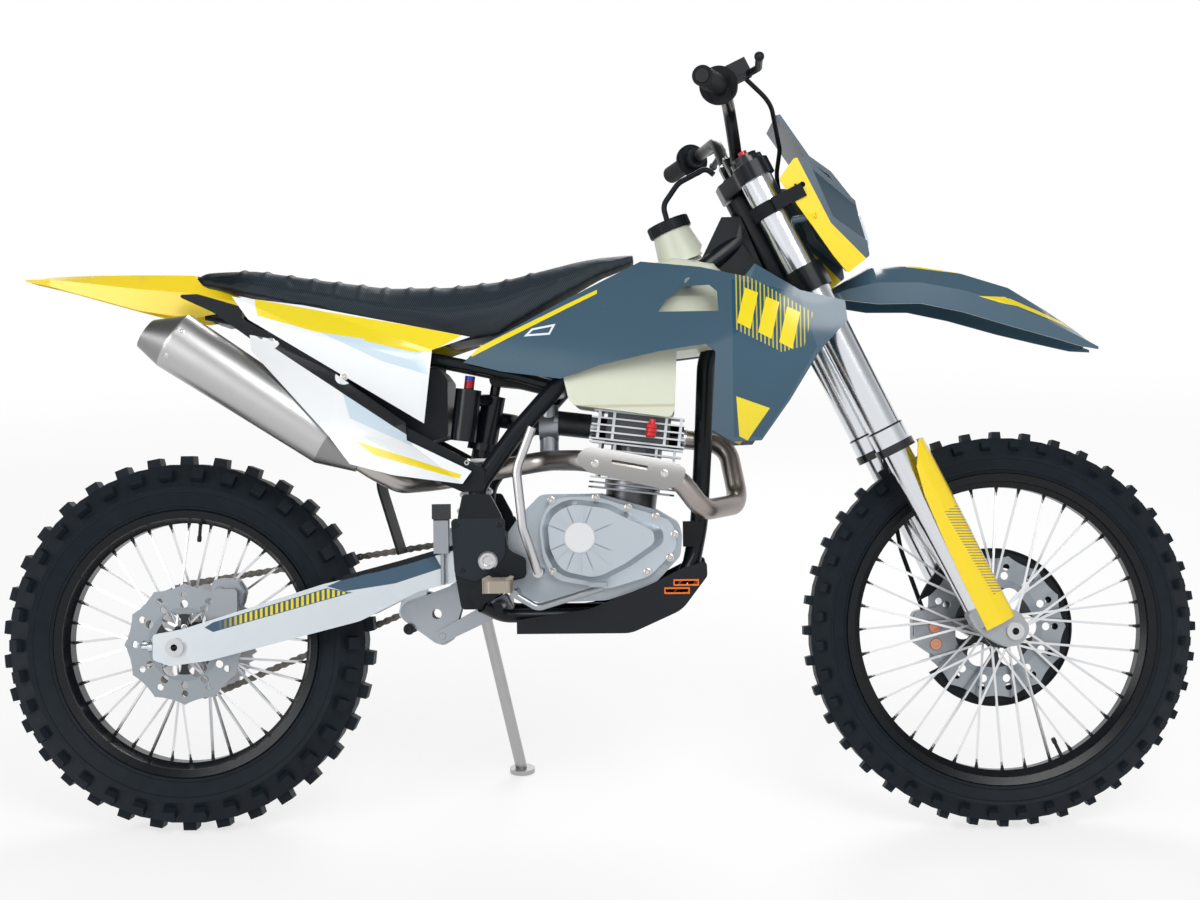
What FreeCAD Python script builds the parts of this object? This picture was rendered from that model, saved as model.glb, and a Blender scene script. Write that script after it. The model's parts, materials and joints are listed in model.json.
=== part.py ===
"""Trail motorcycle: a 250-class off-road bike that leans on its side stand.

Every piece is drawn on the upright bike, with X forward, Y to its left and Z up from the road under the rear
axle, or in a frame of its own that is named where it is made. The placements turn the steering to its rest
and lean the whole bike onto its stand. Lengths are in millimetres, angles in degrees.
"""
import FreeCAD
import Part
import math
import os
import re
from FreeCAD import Placement, Rotation, Vector

doc = FreeCAD.newDocument("TrailMotorcycle")
sheet = doc.addObject("Spreadsheet::Sheet", "Sizes")

# Driving dimensions, one to a row of the sheet: what it is, its alias and its value.
SIZES = [
    ("Wheelbase", "wheelbase", 1450),
    ("Lean to the left on the side stand", "lean_angle", 11),
    ("Steering angle at rest, to the left", "steer_rest", 4),
    ("Steering head angle from the vertical", "rake_angle", 26.5),
    ("Fork tubes ahead of the steering axis", "fork_offset", 22),
    ("Front axle ahead of the fork tubes", "axle_lead", 35),
    ("Fork leg from the centre plane", "fork_half", 104),
    ("Running gap between pieces", "gap", 0.3),
    ("Rear wheel radius at the lug tips", "rear_radius", 336),
    ("Rear tyre section radius at the lug tips", "rear_crown", 66),
    ("Rear lug height", "rear_lug", 14),
    ("Rear lug rows", "rear_rows", 34),
    ("Rear rim inner radius", "rear_rim_in", 215),
    ("Rear rim seat radius", "rear_rim_seat", 229),
    ("Rear rim width", "rear_rim_width", 62),
    ("Front wheel radius at the lug tips", "front_radius", 349),
    ("Front tyre section radius at the lug tips", "front_crown", 50),
    ("Front lug height", "front_lug", 11),
    ("Front lug rows", "front_rows", 40),
    ("Front rim inner radius", "front_rim_in", 250),
    ("Front rim seat radius", "front_rim_seat", 265),
    ("Front rim width", "front_rim_width", 46),
    ("Rim wall", "rim_wall", 4),
    ("Spokes in a wheel", "spoke_count", 36),
    ("Spoke thickness", "spoke_size", 4),
    ("Rear hub half length", "rear_hub_half", 42),
    ("Front hub half length", "front_hub_half", 34),
    ("Hub barrel radius", "hub_radius", 24),
    ("Hub flange radius", "flange_radius", 34),
    ("Hub flange thickness", "flange_wide", 7),
    ("Rear axle radius", "rear_axle_radius", 10),
    ("Front axle radius", "front_axle_radius", 10),
    ("Axle bore radius", "axle_bore", 6),
    ("Rear disc radius", "rear_disc_radius", 108),
    ("Front disc radius", "front_disc_radius", 130),
    ("Disc thickness", "disc_wide", 4),
    ("Sprocket teeth", "sprocket_teeth", 41),
    ("Drive sprocket teeth", "drive_teeth", 11),
    ("Chain pitch", "chain_pitch", 15.875),
    ("Sprocket thickness", "sprocket_wide", 6),
    ("Chain line from the centre plane", "chain_line", 70),
    ("Drive sprocket shaft ahead of the rear axle", "drive_x", 598),
    ("Drive sprocket shaft height", "drive_z", 500),
    ("Fork outer tube radius", "fork_tube_radius", 29),
    ("Fork leg radius", "fork_leg_radius", 24),
    ("Fork tube lower end along the steering axis", "fork_tube_low", 727),
    ("Fork tube top along the steering axis", "fork_tube_top", 1298),
    ("Lower fork clamp along the steering axis", "low_clamp", 1040),
    ("Upper fork clamp along the steering axis", "top_clamp", 1258),
    ("Fork clamp depth", "clamp_deep", 30),
    ("Head tube radius", "head_radius", 29),
    ("Steering stem radius", "stem_radius", 14),
    ("Handlebar tube radius", "bar_radius", 11),
    ("Grip radius", "grip_radius", 17),
    ("Handlebar end from the centre plane", "bar_half", 405),
    ("Spar tube radius", "spar_radius", 16),
    ("Cradle tube radius", "cradle_radius", 12),
    ("Spars from the centre plane", "spar_half", 85),
    ("Swingarm pivot ahead of the rear axle", "pivot_x", 552),
    ("Swingarm pivot height", "pivot_z", 482),
    ("Swingarm arms from the centre plane", "arm_half", 96),
    ("Swingarm arm thickness", "arm_wide", 24),
    ("Engine half width", "engine_half", 88),
    ("Panel thickness", "panel_wide", 3),
    ("Silencer radius", "silencer_radius", 50),
    ("Exhaust pipe radius", "pipe_radius", 18),
    ("Footpeg tip from the centre plane", "peg_tip", 262),
    ("Side stand foot from the centre plane", "stand_out", 285),
    ("Side stand foot ahead of the rear axle", "stand_foot_x", 575),
    ("Side stand pivot ahead of the rear axle", "stand_x", 514),
    ("Side stand pivot height", "stand_z", 402),
    ("Side stand tube radius", "stand_radius", 11),
]

for row, (words, alias, number) in enumerate(SIZES, start=1):
    sheet.set(f"A{row}", words)
    sheet.set(f"B{row}", str(number))
    sheet.setAlias(f"B{row}", alias)
doc.recompute()
ALIASES = {alias for _, alias, _ in SIZES}


def size(alias):
    """The number in the sheet's cell of that name."""
    return float(sheet.get(alias))


def bind(piece, **formulas):
    """Ties properties of a piece to formulas on the sheet's names."""
    for name, formula in formulas.items():
        linked = re.sub(r"[a-z_]+", lambda m: f"Sizes.{m[0]}" if m[0] in ALIASES else m[0], formula)
        piece.setExpression(name.replace("__", "."), linked)
    return piece


def cos(angle):
    return math.cos(math.radians(angle))


def sin(angle):
    return math.sin(math.radians(angle))


# Places: the rear and front axles, the steering axis, the lean on the stand and the whole bike's origin.
X, Y, Z = Vector(1, 0, 0), Vector(0, 1, 0), Vector(0, 0, 1)
RAKE = size("rake_angle")
AXLE_FORWARD = size("fork_offset") + size("axle_lead")
TRAIL = (size("front_radius") * sin(RAKE) - AXLE_FORWARD) / cos(RAKE)
REAR_AXLE = Vector(0, 0, size("rear_radius"))
FRONT_AXLE = Vector(size("wheelbase"), 0, size("front_radius"))
STEM_FOOT = Vector(size("wheelbase") + TRAIL, 0, 0)
# The fork's own frame: its origin where the steering axis meets the road, Z up that axis, X forward.
FORK = Placement(STEM_FOOT, Rotation(Y, -RAKE))
AXLE_UP = FORK.inverse().multVec(FRONT_AXLE).z
STEER = FORK * Placement(Vector(), Rotation(Z, size("steer_rest"))) * FORK.inverse()
LEAN = Placement(Vector(), Rotation(X, -size("lean_angle")))


def lowest(centre, axis, radius, crown):
    """The height of the lowest point of a tyre whose crown is a circle swept round its axle."""
    return centre.z - (radius - crown) * math.sqrt(1 - axis.z ** 2) - crown


rear_at = LEAN.multVec(REAR_AXLE)
front_at = (LEAN * STEER).multVec(FRONT_AXLE)
rear_low = lowest(rear_at, LEAN.Rotation.multVec(Y), size("rear_radius"), size("rear_crown"))
front_low = lowest(front_at, (LEAN * STEER).Rotation.multVec(Y), size("front_radius"), size("front_crown"))
PITCH = math.degrees(math.atan2(front_low - rear_low, front_at.x - rear_at.x))
LEVEL = Placement(Vector(), Rotation(Y, PITCH)) * LEAN
bar_ends = [(LEVEL * STEER * FORK).multVec(Vector(-33, side * size("bar_half"), 1408)) for side in (-1, 1)]
MIDDLE = Vector((size("wheelbase") + size("front_radius") - size("rear_radius")) / 2,
                (bar_ends[0].y + bar_ends[1].y) / 2, rear_low)
PARK = Placement(-MIDDLE, Rotation()) * LEVEL
REAR = PARK * Placement(REAR_AXLE, Rotation())
STEERED = PARK * STEER
FORKED = STEERED * FORK
FRONT = FORKED * Placement(Vector(AXLE_FORWARD, 0, AXLE_UP), Rotation(Y, RAKE))

NODES = {}


def node(piece, name, place=PARK):
    """Registers a finished piece under its node's name and puts it in its place on the parked bike."""
    piece.Label = name
    piece.Placement = place * piece.Placement
    NODES[name] = piece
    return piece


def origin_item(body, role):
    """One of the body's own origin planes or axes."""
    return next(item for item in body.Origin.OriginFeatures if item.Role == role)


def rounded(points, closed=True):
    """Straight runs joined by tangent arcs. Each point is a Vector with the radius of its corner."""
    places = [p for p, _ in points]
    count = len(points)
    edges = []
    start = None
    last = None
    order = range(count) if closed else range(1, count - 1)
    joins = []
    for i in order:
        corner, radius = points[i]
        before = places[i - 1] - corner
        after = places[(i + 1) % count] - corner
        room = 0.49 * min(before.Length, after.Length)
        before.normalize()
        after.normalize()
        half = before.getAngle(after) / 2
        if radius < 0.01:
            joins.append((corner, None, corner))
            continue
        run = min(radius / math.tan(half), room)
        radius = run * math.tan(half)
        middle = (before + after).normalize() * (radius / math.sin(half) - radius)
        joins.append((corner + before * run, corner + middle, corner + after * run))
    if not closed:
        joins = [(places[0], None, places[0])] + joins + [(places[-1], None, places[-1])]
    for k, (enter, middle, leave) in enumerate(joins):
        if last is not None and last.distanceToPoint(enter) > 1e-4:
            edges.append(Part.LineSegment(last, enter))
        if middle is not None:
            edges.append(Part.Arc(enter, middle, leave))
        if start is None:
            start = enter
        last = leave
    if closed and last.distanceToPoint(start) > 1e-4:
        edges.append(Part.LineSegment(last, start))
    return edges


def outline(points):
    """An outline's edges in its own plane, from (across, up) or (across, up, corner radius)."""
    return rounded([(Vector(p[0], p[1], 0), p[2] if len(p) > 2 else 0) for p in points])


def sketch(body, role, name, edges, offset=None):
    """A sketch on one of the body's own planes, moved along its normal by a formula."""
    drawn = body.newObject("Sketcher::SketchObject", name)
    drawn.AttachmentSupport = (origin_item(body, role), [""])
    drawn.MapMode = "FlatFace"
    drawn.addGeometry(edges)
    if offset:
        bind(drawn, AttachmentOffset__Base__z=offset)
    return drawn


def plate(name, points, inner, thick, holes=(), pair=False):
    """A flat piece in the bike's side view. inner is its face's distance to the right of the centre plane."""
    body = doc.addObject("PartDesign::Body", name)
    edges = outline(points)
    for x, z, radius in holes:
        edges.append(Part.Circle(Vector(x, z, 0), Z, radius))
    pad = body.newObject("PartDesign::Pad", name + "_pad")
    pad.Profile = sketch(body, "XZ_Plane", name + "_outline", edges, inner)
    bind(pad, Length=thick)
    body.Tip = pad
    if pair:
        body.AllowCompound = True
        doc.recompute()
        mirror = body.newObject("PartDesign::Mirrored", name + "_mirror")
        mirror.Originals = [pad]
        mirror.MirrorPlane = (origin_item(body, "XZ_Plane"), [""])
        body.Tip = mirror
    return body


def turned(name, points):
    """A piece revolved about the Y axis, from (along the axis, radius) points."""
    body = doc.addObject("PartDesign::Body", name)
    turn = body.newObject("PartDesign::Revolution", name + "_turn")
    turn.Profile = sketch(body, "YZ_Plane", name + "_section", outline(points))
    turn.ReferenceAxis = (origin_item(body, "Y_Axis"), [""])
    turn.Angle = 360
    body.Tip = turn
    return body


def rod(name, start, end, radius, hole=None):
    """A round bar from one point to another, its radius and bore bound to the sheet."""
    along = end - start
    bar = doc.addObject("Part::Cylinder", name)
    bind(bar, Radius=radius)
    bar.Height = along.Length
    bar.Placement = Placement(start, Rotation(Z, along))
    if not hole:
        return bar
    core = doc.addObject("Part::Cylinder", name + "_bore")
    bind(core, Radius=hole)
    core.Height = along.Length
    core.Placement = bar.Placement
    return cut(name + "_hollow", bar, core)


def fuse(name, pieces):
    joined = doc.addObject("Part::MultiFuse", name)
    joined.Shapes = pieces
    return joined


def cut(name, base, tool):
    less = doc.addObject("Part::Cut", name)
    less.Base = base
    less.Tool = tool
    return less


def shaped(name, shape):
    """A piece whose shape is worked out with Part's own functions."""
    piece = doc.addObject("Part::Feature", name)
    piece.Shape = shape
    return piece


def bent(points, radius, bore=0):
    """A round tube's shape along straight runs and tangent arcs."""
    path = Part.Wire([edge.toShape() for edge in rounded(points, closed=False)])
    start = points[0][0]
    way = points[1][0] - start
    solid = path.makePipeShell([Part.Wire(Part.makeCircle(radius, start, way))], True, False)
    if bore:
        inner = path.makePipeShell([Part.Wire(Part.makeCircle(bore, start, way))], True, False)
        solid = solid.cut(inner)
    return solid


def mirrored(shape):
    """A right-hand shape's left-hand twin."""
    return shape.mirror(Vector(), Y)


def both(shape):
    return shape.fuse(mirrored(shape))


def slab(points, low, high):
    """A flat shape in the side view, from one Y to another."""
    wire = Part.Wire([e.toShape() for e in outline(points)])
    face = Part.Face(wire)
    face.rotate(Vector(), X, 90)
    face.translate(Vector(0, low, 0))
    return face.extrude(Vector(0, high - low, 0))


def ruled(sections, smooth=False):
    """A solid through closed sections of straight edges."""
    wires = [Part.makePolygon(points + points[:1]) for points in sections]
    return Part.makeLoft(wires, True, not smooth)


# Wheels. A tyre's carcass has one flat to each lug row, and each row has a crown knob and two shoulder knobs.
def tyre_section(radius, crown, lug, seat, width, rows):
    """The carcass's cross-section from right to left, its bead clear of the rim at the middle of each flat."""
    hoop = size(radius) - size(crown)
    flat = (size(crown) - size(lug)) * 1.12
    bead = size(width) / 2
    chord = cos(180 / size(rows))
    foot = (size(seat) + size("gap")) / chord
    side = Vector(0, -flat * cos(10), (hoop + flat * sin(10)) / chord)
    crowns = [Vector(0, -flat * cos(a), hoop + flat * sin(a)) for a in (63, 117)]
    return [Vector(0, -bead, foot), side, *crowns, Vector(0, -side.y, side.z), Vector(0, bead, foot)]


def tyre(name, radius, crown, lug, seat, width, rows, knobs):
    hoop = size(radius) - size(crown)
    carcass = size(crown) - size(lug)
    count = int(size(rows))
    step = 360 / count
    section = tyre_section(radius, crown, lug, seat, width, rows)
    rings = []
    for i in range(count):
        round_axle = Rotation(Y, (i + 0.5) * step)
        rings.append([round_axle.multVec(p) for p in section])
    faces = []
    for i in range(count):
        near, far = rings[i], rings[(i + 1) % count]
        for k in range(len(section)):
            n = (k + 1) % len(section)
            faces.append(Part.Face(Part.makePolygon([near[k], near[n], far[n], far[k], near[k]])))
    body = Part.makeSolid(Part.makeShell(faces))
    if body.Volume < 0:
        body.reverse()
    root = carcass * 0.8
    taper = 1.5
    lugs = []
    for i in range(count):
        for roll, length, wide, turn in knobs:
            knob = Part.makeWedge(-length / 2, root, -wide / 2, taper - wide / 2, taper - length / 2,
                                  length / 2, size(crown), wide / 2, wide / 2 - taper, length / 2 - taper)
            spin = Placement(Vector(), Rotation(Y, i * step + turn))
            tilt = Placement(Vector(0, 0, hoop), Rotation(X, roll))
            knob.Placement = spin * tilt * Placement(Vector(), Rotation(X, 90))
            lugs.append(knob)
    return shaped(name + "_solid", body.multiFuse(lugs))


def rim(name, inner, seat, width, wall, section):
    """A dropped-centre rim whose flanges follow the tyre's sidewalls."""
    half = size(width) / 2
    low, high, thick, gap = size(inner), size(seat), size(wall), size("gap")
    lip = 9
    flare = (section[0].y - section[1].y) / (section[1].z - section[0].z) * lip
    foot, edge = half + gap, half + flare + 2 * gap
    points = [(-edge - thick, high + lip), (-foot - thick, high - thick), (4 - half, high - thick - 1),
              (-half / 2, low), (half / 2, low), (half - 4, high - thick - 1), (foot + thick, high - thick),
              (edge + thick, high + lip), (edge, high + lip), (foot, high - gap), (half - 8, high - 1),
              (half / 2 - 2, low + thick), (2 - half / 2, low + thick), (8 - half, high - 1),
              (-foot, high - gap),
              (-edge, high + lip)]
    return turned(name + "_ring", points)


def spoke_set(hub_radius, flange, rim_radius, count, thick, lean):
    """Crossed spokes, square in section, from the two flanges to the rim's middle."""
    spokes = []
    step = 360 / count
    for i in range(count):
        side = 1 if i % 2 else -1
        ahead = lean if (i // 2) % 2 else -lean
        root = Vector(hub_radius * sin(i * step + ahead), side * flange, hub_radius * cos(i * step + ahead))
        tip = Vector(rim_radius * sin(i * step), side * 6, rim_radius * cos(i * step))
        bar = Part.makeBox(thick, thick, (tip - root).Length, Vector(-thick / 2, -thick / 2, 0))
        bar.Placement = Placement(root, Rotation(Z, tip - root))
        spokes.append(bar)
    return spokes


def hub(name, half, rim_radius, left_end):
    """A barrel with two flanges, a through bore for the axle, and the wheel's spokes."""
    half_long = size(half)
    bore = size("rear_axle_radius") + size("gap")
    radius, flange, wide = size("hub_radius"), size("flange_radius"), size("flange_wide")
    points = [(-half_long, bore), (-half_long, radius - 4), (-half_long + 6, radius - 4),
              (-half_long + 6, flange), (-half_long + 6 + wide, flange), (-half_long + 10 + wide, radius),
              (half_long - 10 - wide, radius), (half_long - 6 - wide, flange), (half_long - 6, flange),
              (half_long - 6, radius - 4), (left_end, radius - 4), (left_end, bore)]
    barrel = turned(name + "_barrel", points)
    doc.recompute()
    spokes = spoke_set(flange - 5, half_long - 6 - wide / 2, rim_radius - 2 * size("gap"),
                       int(size("spoke_count")), size("spoke_size"), 40)
    return shaped(name + "_spoked", barrel.Shape.multiFuse(spokes))


def disc(name, radius, inner, offset, waves, bolts, bolt_ring):
    """A wave brake disc: a scalloped rim, a ring of windows and a bolt ring."""
    body = doc.addObject("PartDesign::Body", name + "_body")
    ring = size(radius)
    edges = []
    for i in range(waves):
        a, b, c = (i * 360 / waves, (i + 0.5) * 360 / waves, (i + 1) * 360 / waves)
        edges.append(Part.Arc(Vector(ring * cos(a), ring * sin(a), 0),
                              Vector((ring - 7) * cos(b), (ring - 7) * sin(b), 0),
                              Vector(ring * cos(c), ring * sin(c), 0)))
    edges.append(Part.Circle(Vector(), Z, inner))
    pad = body.newObject("PartDesign::Pad", name + "_pad")
    pad.Profile = sketch(body, "XZ_Plane", name + "_outline", edges, offset)
    bind(pad, Length="disc_wide")
    doc.recompute()
    holes = []
    for radius_at, count, hole in ((ring - 20, waves, 6), (ring - 36, waves, 7),
                                   (bolt_ring, bolts, bolt_ring * 0.38)):
        pocket = body.newObject("PartDesign::Pocket", name + "_holes")
        centre = Vector(radius_at, 0, 0)
        pocket.Profile = sketch(body, "XZ_Plane", name + "_hole", [Part.Circle(centre, Z, hole)], offset)
        pocket.Type = 1
        pocket.Midplane = True
        doc.recompute()
        ringed = body.newObject("PartDesign::PolarPattern", name + "_ring")
        ringed.Originals = [pocket]
        ringed.Axis = (origin_item(body, "Y_Axis"), [""])
        ringed.Angle = 360
        ringed.Occurrences = count
        body.Tip = ringed
        doc.recompute()
    return body


REAR_KNOBS = [(0, 26, 38, 0), (56, 24, 24, 5.3), (-56, 24, 24, 5.3)]
FRONT_KNOBS = [(0, 18, 28, 0), (56, 18, 17, 4.5), (-56, 18, 17, 4.5)]
REAR_TYRE = ("rear_radius", "rear_crown", "rear_lug", "rear_rim_seat", "rear_rim_width", "rear_rows")
FRONT_TYRE = ("front_radius", "front_crown", "front_lug", "front_rim_seat", "front_rim_width", "front_rows")
node(tyre("rear_tyre", *REAR_TYRE, REAR_KNOBS), "rear_tyre", REAR)
node(tyre("front_tyre", *FRONT_TYRE, FRONT_KNOBS), "front_tyre", FRONT)
node(rim("rear_rim", "rear_rim_in", "rear_rim_seat", "rear_rim_width", "rim_wall", tyre_section(*REAR_TYRE)),
     "rear_rim", REAR)
node(rim("front_rim", "front_rim_in", "front_rim_seat", "front_rim_width", "rim_wall",
         tyre_section(*FRONT_TYRE)), "front_rim", FRONT)
SPROCKET_SEAT = size("chain_line") - size("sprocket_wide") / 2 - size("gap")
node(hub("rear_hub", "rear_hub_half", size("rear_rim_in"), SPROCKET_SEAT), "rear_hub", REAR)
node(hub("front_hub", "front_hub_half", size("front_rim_in"), size("front_hub_half")), "front_hub", FRONT)
node(disc("rear_disc", "rear_disc_radius", 12, "rear_hub_half + gap", 12, 6, 46), "rear_disc", REAR)
node(disc("front_disc", "front_disc_radius", 12, "0 - front_hub_half - gap - disc_wide", 14, 6, 56),
     "front_disc", FRONT)


def sprocket(name, teeth, pitch, wide, at, hole):
    """A toothed wheel cut from a plain disc, with round windows between its arms."""
    count = int(size(teeth))
    ring = size(pitch) * count / (2 * math.pi)
    edges = []
    for i in range(count):
        a, b, c = (i * 360 / count, (i + 0.5) * 360 / count, (i + 1) * 360 / count)
        edges.append((ring * cos(a) * 0.97, ring * sin(a) * 0.97))
        edges.append(((ring + 4) * cos(b), (ring + 4) * sin(b)))
    windows = [(ring * 0.62 * cos(i * 60), ring * 0.62 * sin(i * 60), ring * 0.2) for i in range(6)]
    if count < 20:
        windows = []
    return plate(name, edges, at, wide, windows + [(0, 0, hole)])


node(sprocket("rear_sprocket_body", "sprocket_teeth", "chain_pitch", "sprocket_wide",
              "0 - chain_line - sprocket_wide / 2", 12), "rear_sprocket", REAR)

# Rear axle: a hollow spindle with the spacers that hold the hub between the arms, and its end nuts.
ARM_IN = size("arm_half") - size("arm_wide") / 2
ARM_OUT = size("arm_half") + size("arm_wide") / 2
spindle = rod("rear_axle_spindle", Vector(0, -ARM_OUT - 9, 0), Vector(0, ARM_OUT + 9, 0), "rear_axle_radius")
DISC_OUT = size("rear_hub_half") + size("gap") + size("disc_wide")
SPROCKET_OUT = size("chain_line") + size("sprocket_wide") / 2
collar_right = rod("rear_axle_collar_right", Vector(0, -ARM_IN + size("gap"), 0),
                   Vector(0, -DISC_OUT - size("gap"), 0), "rear_axle_radius + 7")
collar_left = rod("rear_axle_collar_left", Vector(0, SPROCKET_OUT + size("gap"), 0),
                  Vector(0, ARM_IN - size("gap"), 0), "rear_axle_radius + 7")
nut_right = rod("rear_axle_nut_right", Vector(0, -ARM_OUT - 9, 0), Vector(0, -ARM_OUT - size("gap"), 0),
                "rear_axle_radius + 6")
nut_left = rod("rear_axle_nut_left", Vector(0, ARM_OUT + size("gap"), 0), Vector(0, ARM_OUT + 9, 0),
               "rear_axle_radius + 6")
bore = rod("rear_axle_bore", Vector(0, -ARM_OUT - 10, 0), Vector(0, ARM_OUT + 10, 0), "axle_bore")
axle = fuse("rear_axle_solid", [spindle, collar_right, collar_left, nut_right, nut_left])
node(cut("rear_axle_piece", axle, bore), "rear_axle", REAR)

# Swingarm: two deep arms with a cross member, a pivot tube and the linkage boss under it.
PIVOT = Vector(size("pivot_x"), 0, size("pivot_z"))
LINK_BOSS = Vector(400, 0, 388)
ROCKER_LOW = Vector(460, 0, 345)
SHOCK_LOW = Vector(486, 0, 424)
FRAME_LINK = Vector(565, 0, 398)
SHOCK_TOP = Vector(560, 0, 803)
arm_points = [(-40, 358, 6), (-40, 314, 6), (-10, 303, 10), (60, 312, 40), (326, 379, 60), (430, 430, 60),
              (540, 456, 20), (578, 470, 18), (578, 500, 18), (545, 510, 20), (489, 500, 30), (396, 474, 60),
              (262, 444, 60), (8, 366, 20)]
arms = plate("swingarm_arms", arm_points, "arm_half - arm_wide / 2", "arm_wide",
             [(0, size("rear_radius"), size("rear_axle_radius") + size("gap")),
              (PIVOT.x, PIVOT.z, 9)], pair=True)
doc.recompute()
cross = slab([(386, 412), (440, 436), (440, 470), (386, 458)], -ARM_IN - 1, ARM_IN + 1)
pivot_tube = Part.makeCylinder(15, 2 * ARM_IN + 2, Vector(PIVOT.x, -ARM_IN - 1, PIVOT.z), Y)
boss = slab([(386, 414), (378, 380, 12), (400, 368, 12), (424, 380, 12), (432, 434)], -11, 11)
adjusters = []
for y in (-size("arm_half"), size("arm_half")):
    adjusters += [Part.makeCylinder(5, 30, Vector(-62, y, size("rear_radius")), X),
                  Part.makeCylinder(9, 8, Vector(-50, y, size("rear_radius")), X)]
arm_shape = arms.Shape.multiFuse([cross, pivot_tube, boss] + adjusters)
pivot_bore = Part.makeCylinder(9, 260, Vector(PIVOT.x, -130, PIVOT.z), Y)
link_bore = Part.makeCylinder(6.3, 60, LINK_BOSS - Y * 30, Y)
node(shaped("swingarm_solid", arm_shape.cut(pivot_bore).cut(link_bore)), "swingarm")

# Rising-rate linkage: a two-plate rocker on the swingarm's boss and a pair of pull rods to the frame.
rocker_points = [(SHOCK_LOW.x, SHOCK_LOW.z + 14, 10), (SHOCK_LOW.x + 14, SHOCK_LOW.z - 8, 10),
                 (ROCKER_LOW.x + 16, ROCKER_LOW.z - 12, 12), (ROCKER_LOW.x - 12, ROCKER_LOW.z - 14, 12),
                 (LINK_BOSS.x - 14, LINK_BOSS.z - 12, 12), (LINK_BOSS.x - 12, LINK_BOSS.z + 14, 12)]
rocker = slab(rocker_points, -20, -12.5)
rocker = rocker.multiFuse([Part.makeCylinder(16, 8, p - Y * 20.5, Y) for p in (LINK_BOSS, SHOCK_LOW,
                                                            ROCKER_LOW)])
rocker = both(rocker.cut(Part.makeCylinder(9, 20, Vector(449, -30, 384), Y)))
pins = [Part.makeCylinder(6, 40, p - Y * 20, Y) for p in (LINK_BOSS, SHOCK_LOW)]
pins.append(Part.makeCylinder(6, 60, ROCKER_LOW - Y * 30, Y))
rocker = rocker.multiFuse(pins)
along = (FRAME_LINK - ROCKER_LOW).normalize()
up = Vector(-along.z, 0, along.x)
rod_points = [(ROCKER_LOW - along * 14 - up * 11), (FRAME_LINK + along * 16 - up * 16),
              (FRAME_LINK + along * 16 + up * 16), (ROCKER_LOW - along * 14 + up * 11)]
pull = slab([(p.x, p.z, 6) for p in rod_points], -29, -21)
pull = pull.cut(Part.makeCylinder(12.3, 60, FRAME_LINK - Y * 40, Y))
pull = both(pull.cut(Part.makeCylinder(6.3, 60, ROCKER_LOW - Y * 40, Y)))
node(shaped("linkage_solid", Part.makeCompound([rocker] + pull.Solids)), "linkage")

# Shock: a body with a clevis-free eye at each end and a remote reservoir bridged to its top, and the spring.
axis = (SHOCK_TOP - SHOCK_LOW).normalize()
eye_low = Part.makeCylinder(12, 24, SHOCK_LOW - Y * 12,
                            Y).cut(Part.makeCylinder(6.3, 30, SHOCK_LOW - Y * 15, Y))
eye_top = Part.makeCylinder(13, 26, SHOCK_TOP - Y * 13,
                            Y).cut(Part.makeCylinder(8.3, 30, SHOCK_TOP - Y * 15, Y))
long = (SHOCK_TOP - SHOCK_LOW).Length
shaft = Part.makeCylinder(9, long - 20, SHOCK_LOW + axis * 9, axis)
seat_low = Part.makeCylinder(30, 8, SHOCK_LOW + axis * 24, axis)
can = Part.makeCylinder(21, 175, SHOCK_LOW + axis * (long - 205), axis)
seat_top = Part.makeCylinder(31, 14, SHOCK_LOW + axis * (long - 130), axis)
tank_low = Vector(503, -50, 692)
tank_axis = Vector(12, 0, 100).normalize()
reservoir = Part.makeCylinder(23, 92, tank_low, tank_axis)
knob = Part.makeCylinder(9, 24, tank_low + tank_axis * 92, tank_axis)
bridge = Part.makeCylinder(11, 66, Vector(SHOCK_TOP.x - 4, -2, SHOCK_TOP.z - 38), Vector(-0.62, -0.76, 0))
shock_shape = eye_low.multiFuse([eye_top, shaft, seat_low, can, seat_top, reservoir, knob, bridge])
for p, r in ((SHOCK_LOW, 6.3), (SHOCK_TOP, 8.3)):
    shock_shape = shock_shape.cut(Part.makeCylinder(r, 60, p - Y * 30, Y))
node(shaped("shock_solid", shock_shape), "shock")
spring_start = SHOCK_LOW + axis * (24 + 8 + size("gap"))
spring_long = (long - 130) - (24 + 8) - 2 * size("gap")
wire_radius = 4.2
helix = Part.makeHelix(spring_long / 7.5, spring_long - 2 * wire_radius, 25)
wire_section = Part.Wire(Part.makeCircle(wire_radius, Vector(25, 0, 0), Y))
coil = Part.Wire(helix).makePipeShell([wire_section], True, True)
coil.Placement = Placement(spring_start + axis * wire_radius, Rotation(Z, axis))
node(shaped("shock_spring_solid", coil), "shock_spring")

# Main frame: head tube, twin spars, down tube and cradle, pivot plates, cross tubes and mounting lugs.
SPAR_Y = size("spar_half")
HEAD_LOW = size("low_clamp") + 45 + 5
HEAD_TOP = size("top_clamp") - 5


def stem(along, ahead=0):
    """A point at a height along the steering axis, and ahead of it."""
    return FORK.multVec(Vector(ahead, 0, along))


PLATE_IN = ARM_OUT + size("gap")
plate_wide = 10
spar_path = [(stem(HEAD_TOP - 60), 0), (Vector(850, -72, 930), 60), (Vector(700, -SPAR_Y, 815), 150),
             (Vector(600, -SPAR_Y, 705), 150), (Vector(532, -SPAR_Y - 8, 612), 60),
             (Vector(529, -SPAR_Y - 8, 532), 0)]
spar = bent(spar_path, size("spar_radius"))
down_path = [(stem(HEAD_LOW + 42), 0), (Vector(936, 0, 838), 90), (Vector(929, 0, 686), 300),
             (Vector(920, 0, 540), 300), (Vector(904, 0, 462), 0)]
down = bent(down_path, size("spar_radius"))
cradle = bent([(Vector(912, 0, 490), 0), (Vector(862, -52, 394), 60), (Vector(760, -66, 384), 80),
               (Vector(575, -84, 384), 40), (Vector(540, -PLATE_IN - 5, 404), 0)], size("cradle_radius"))
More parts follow.
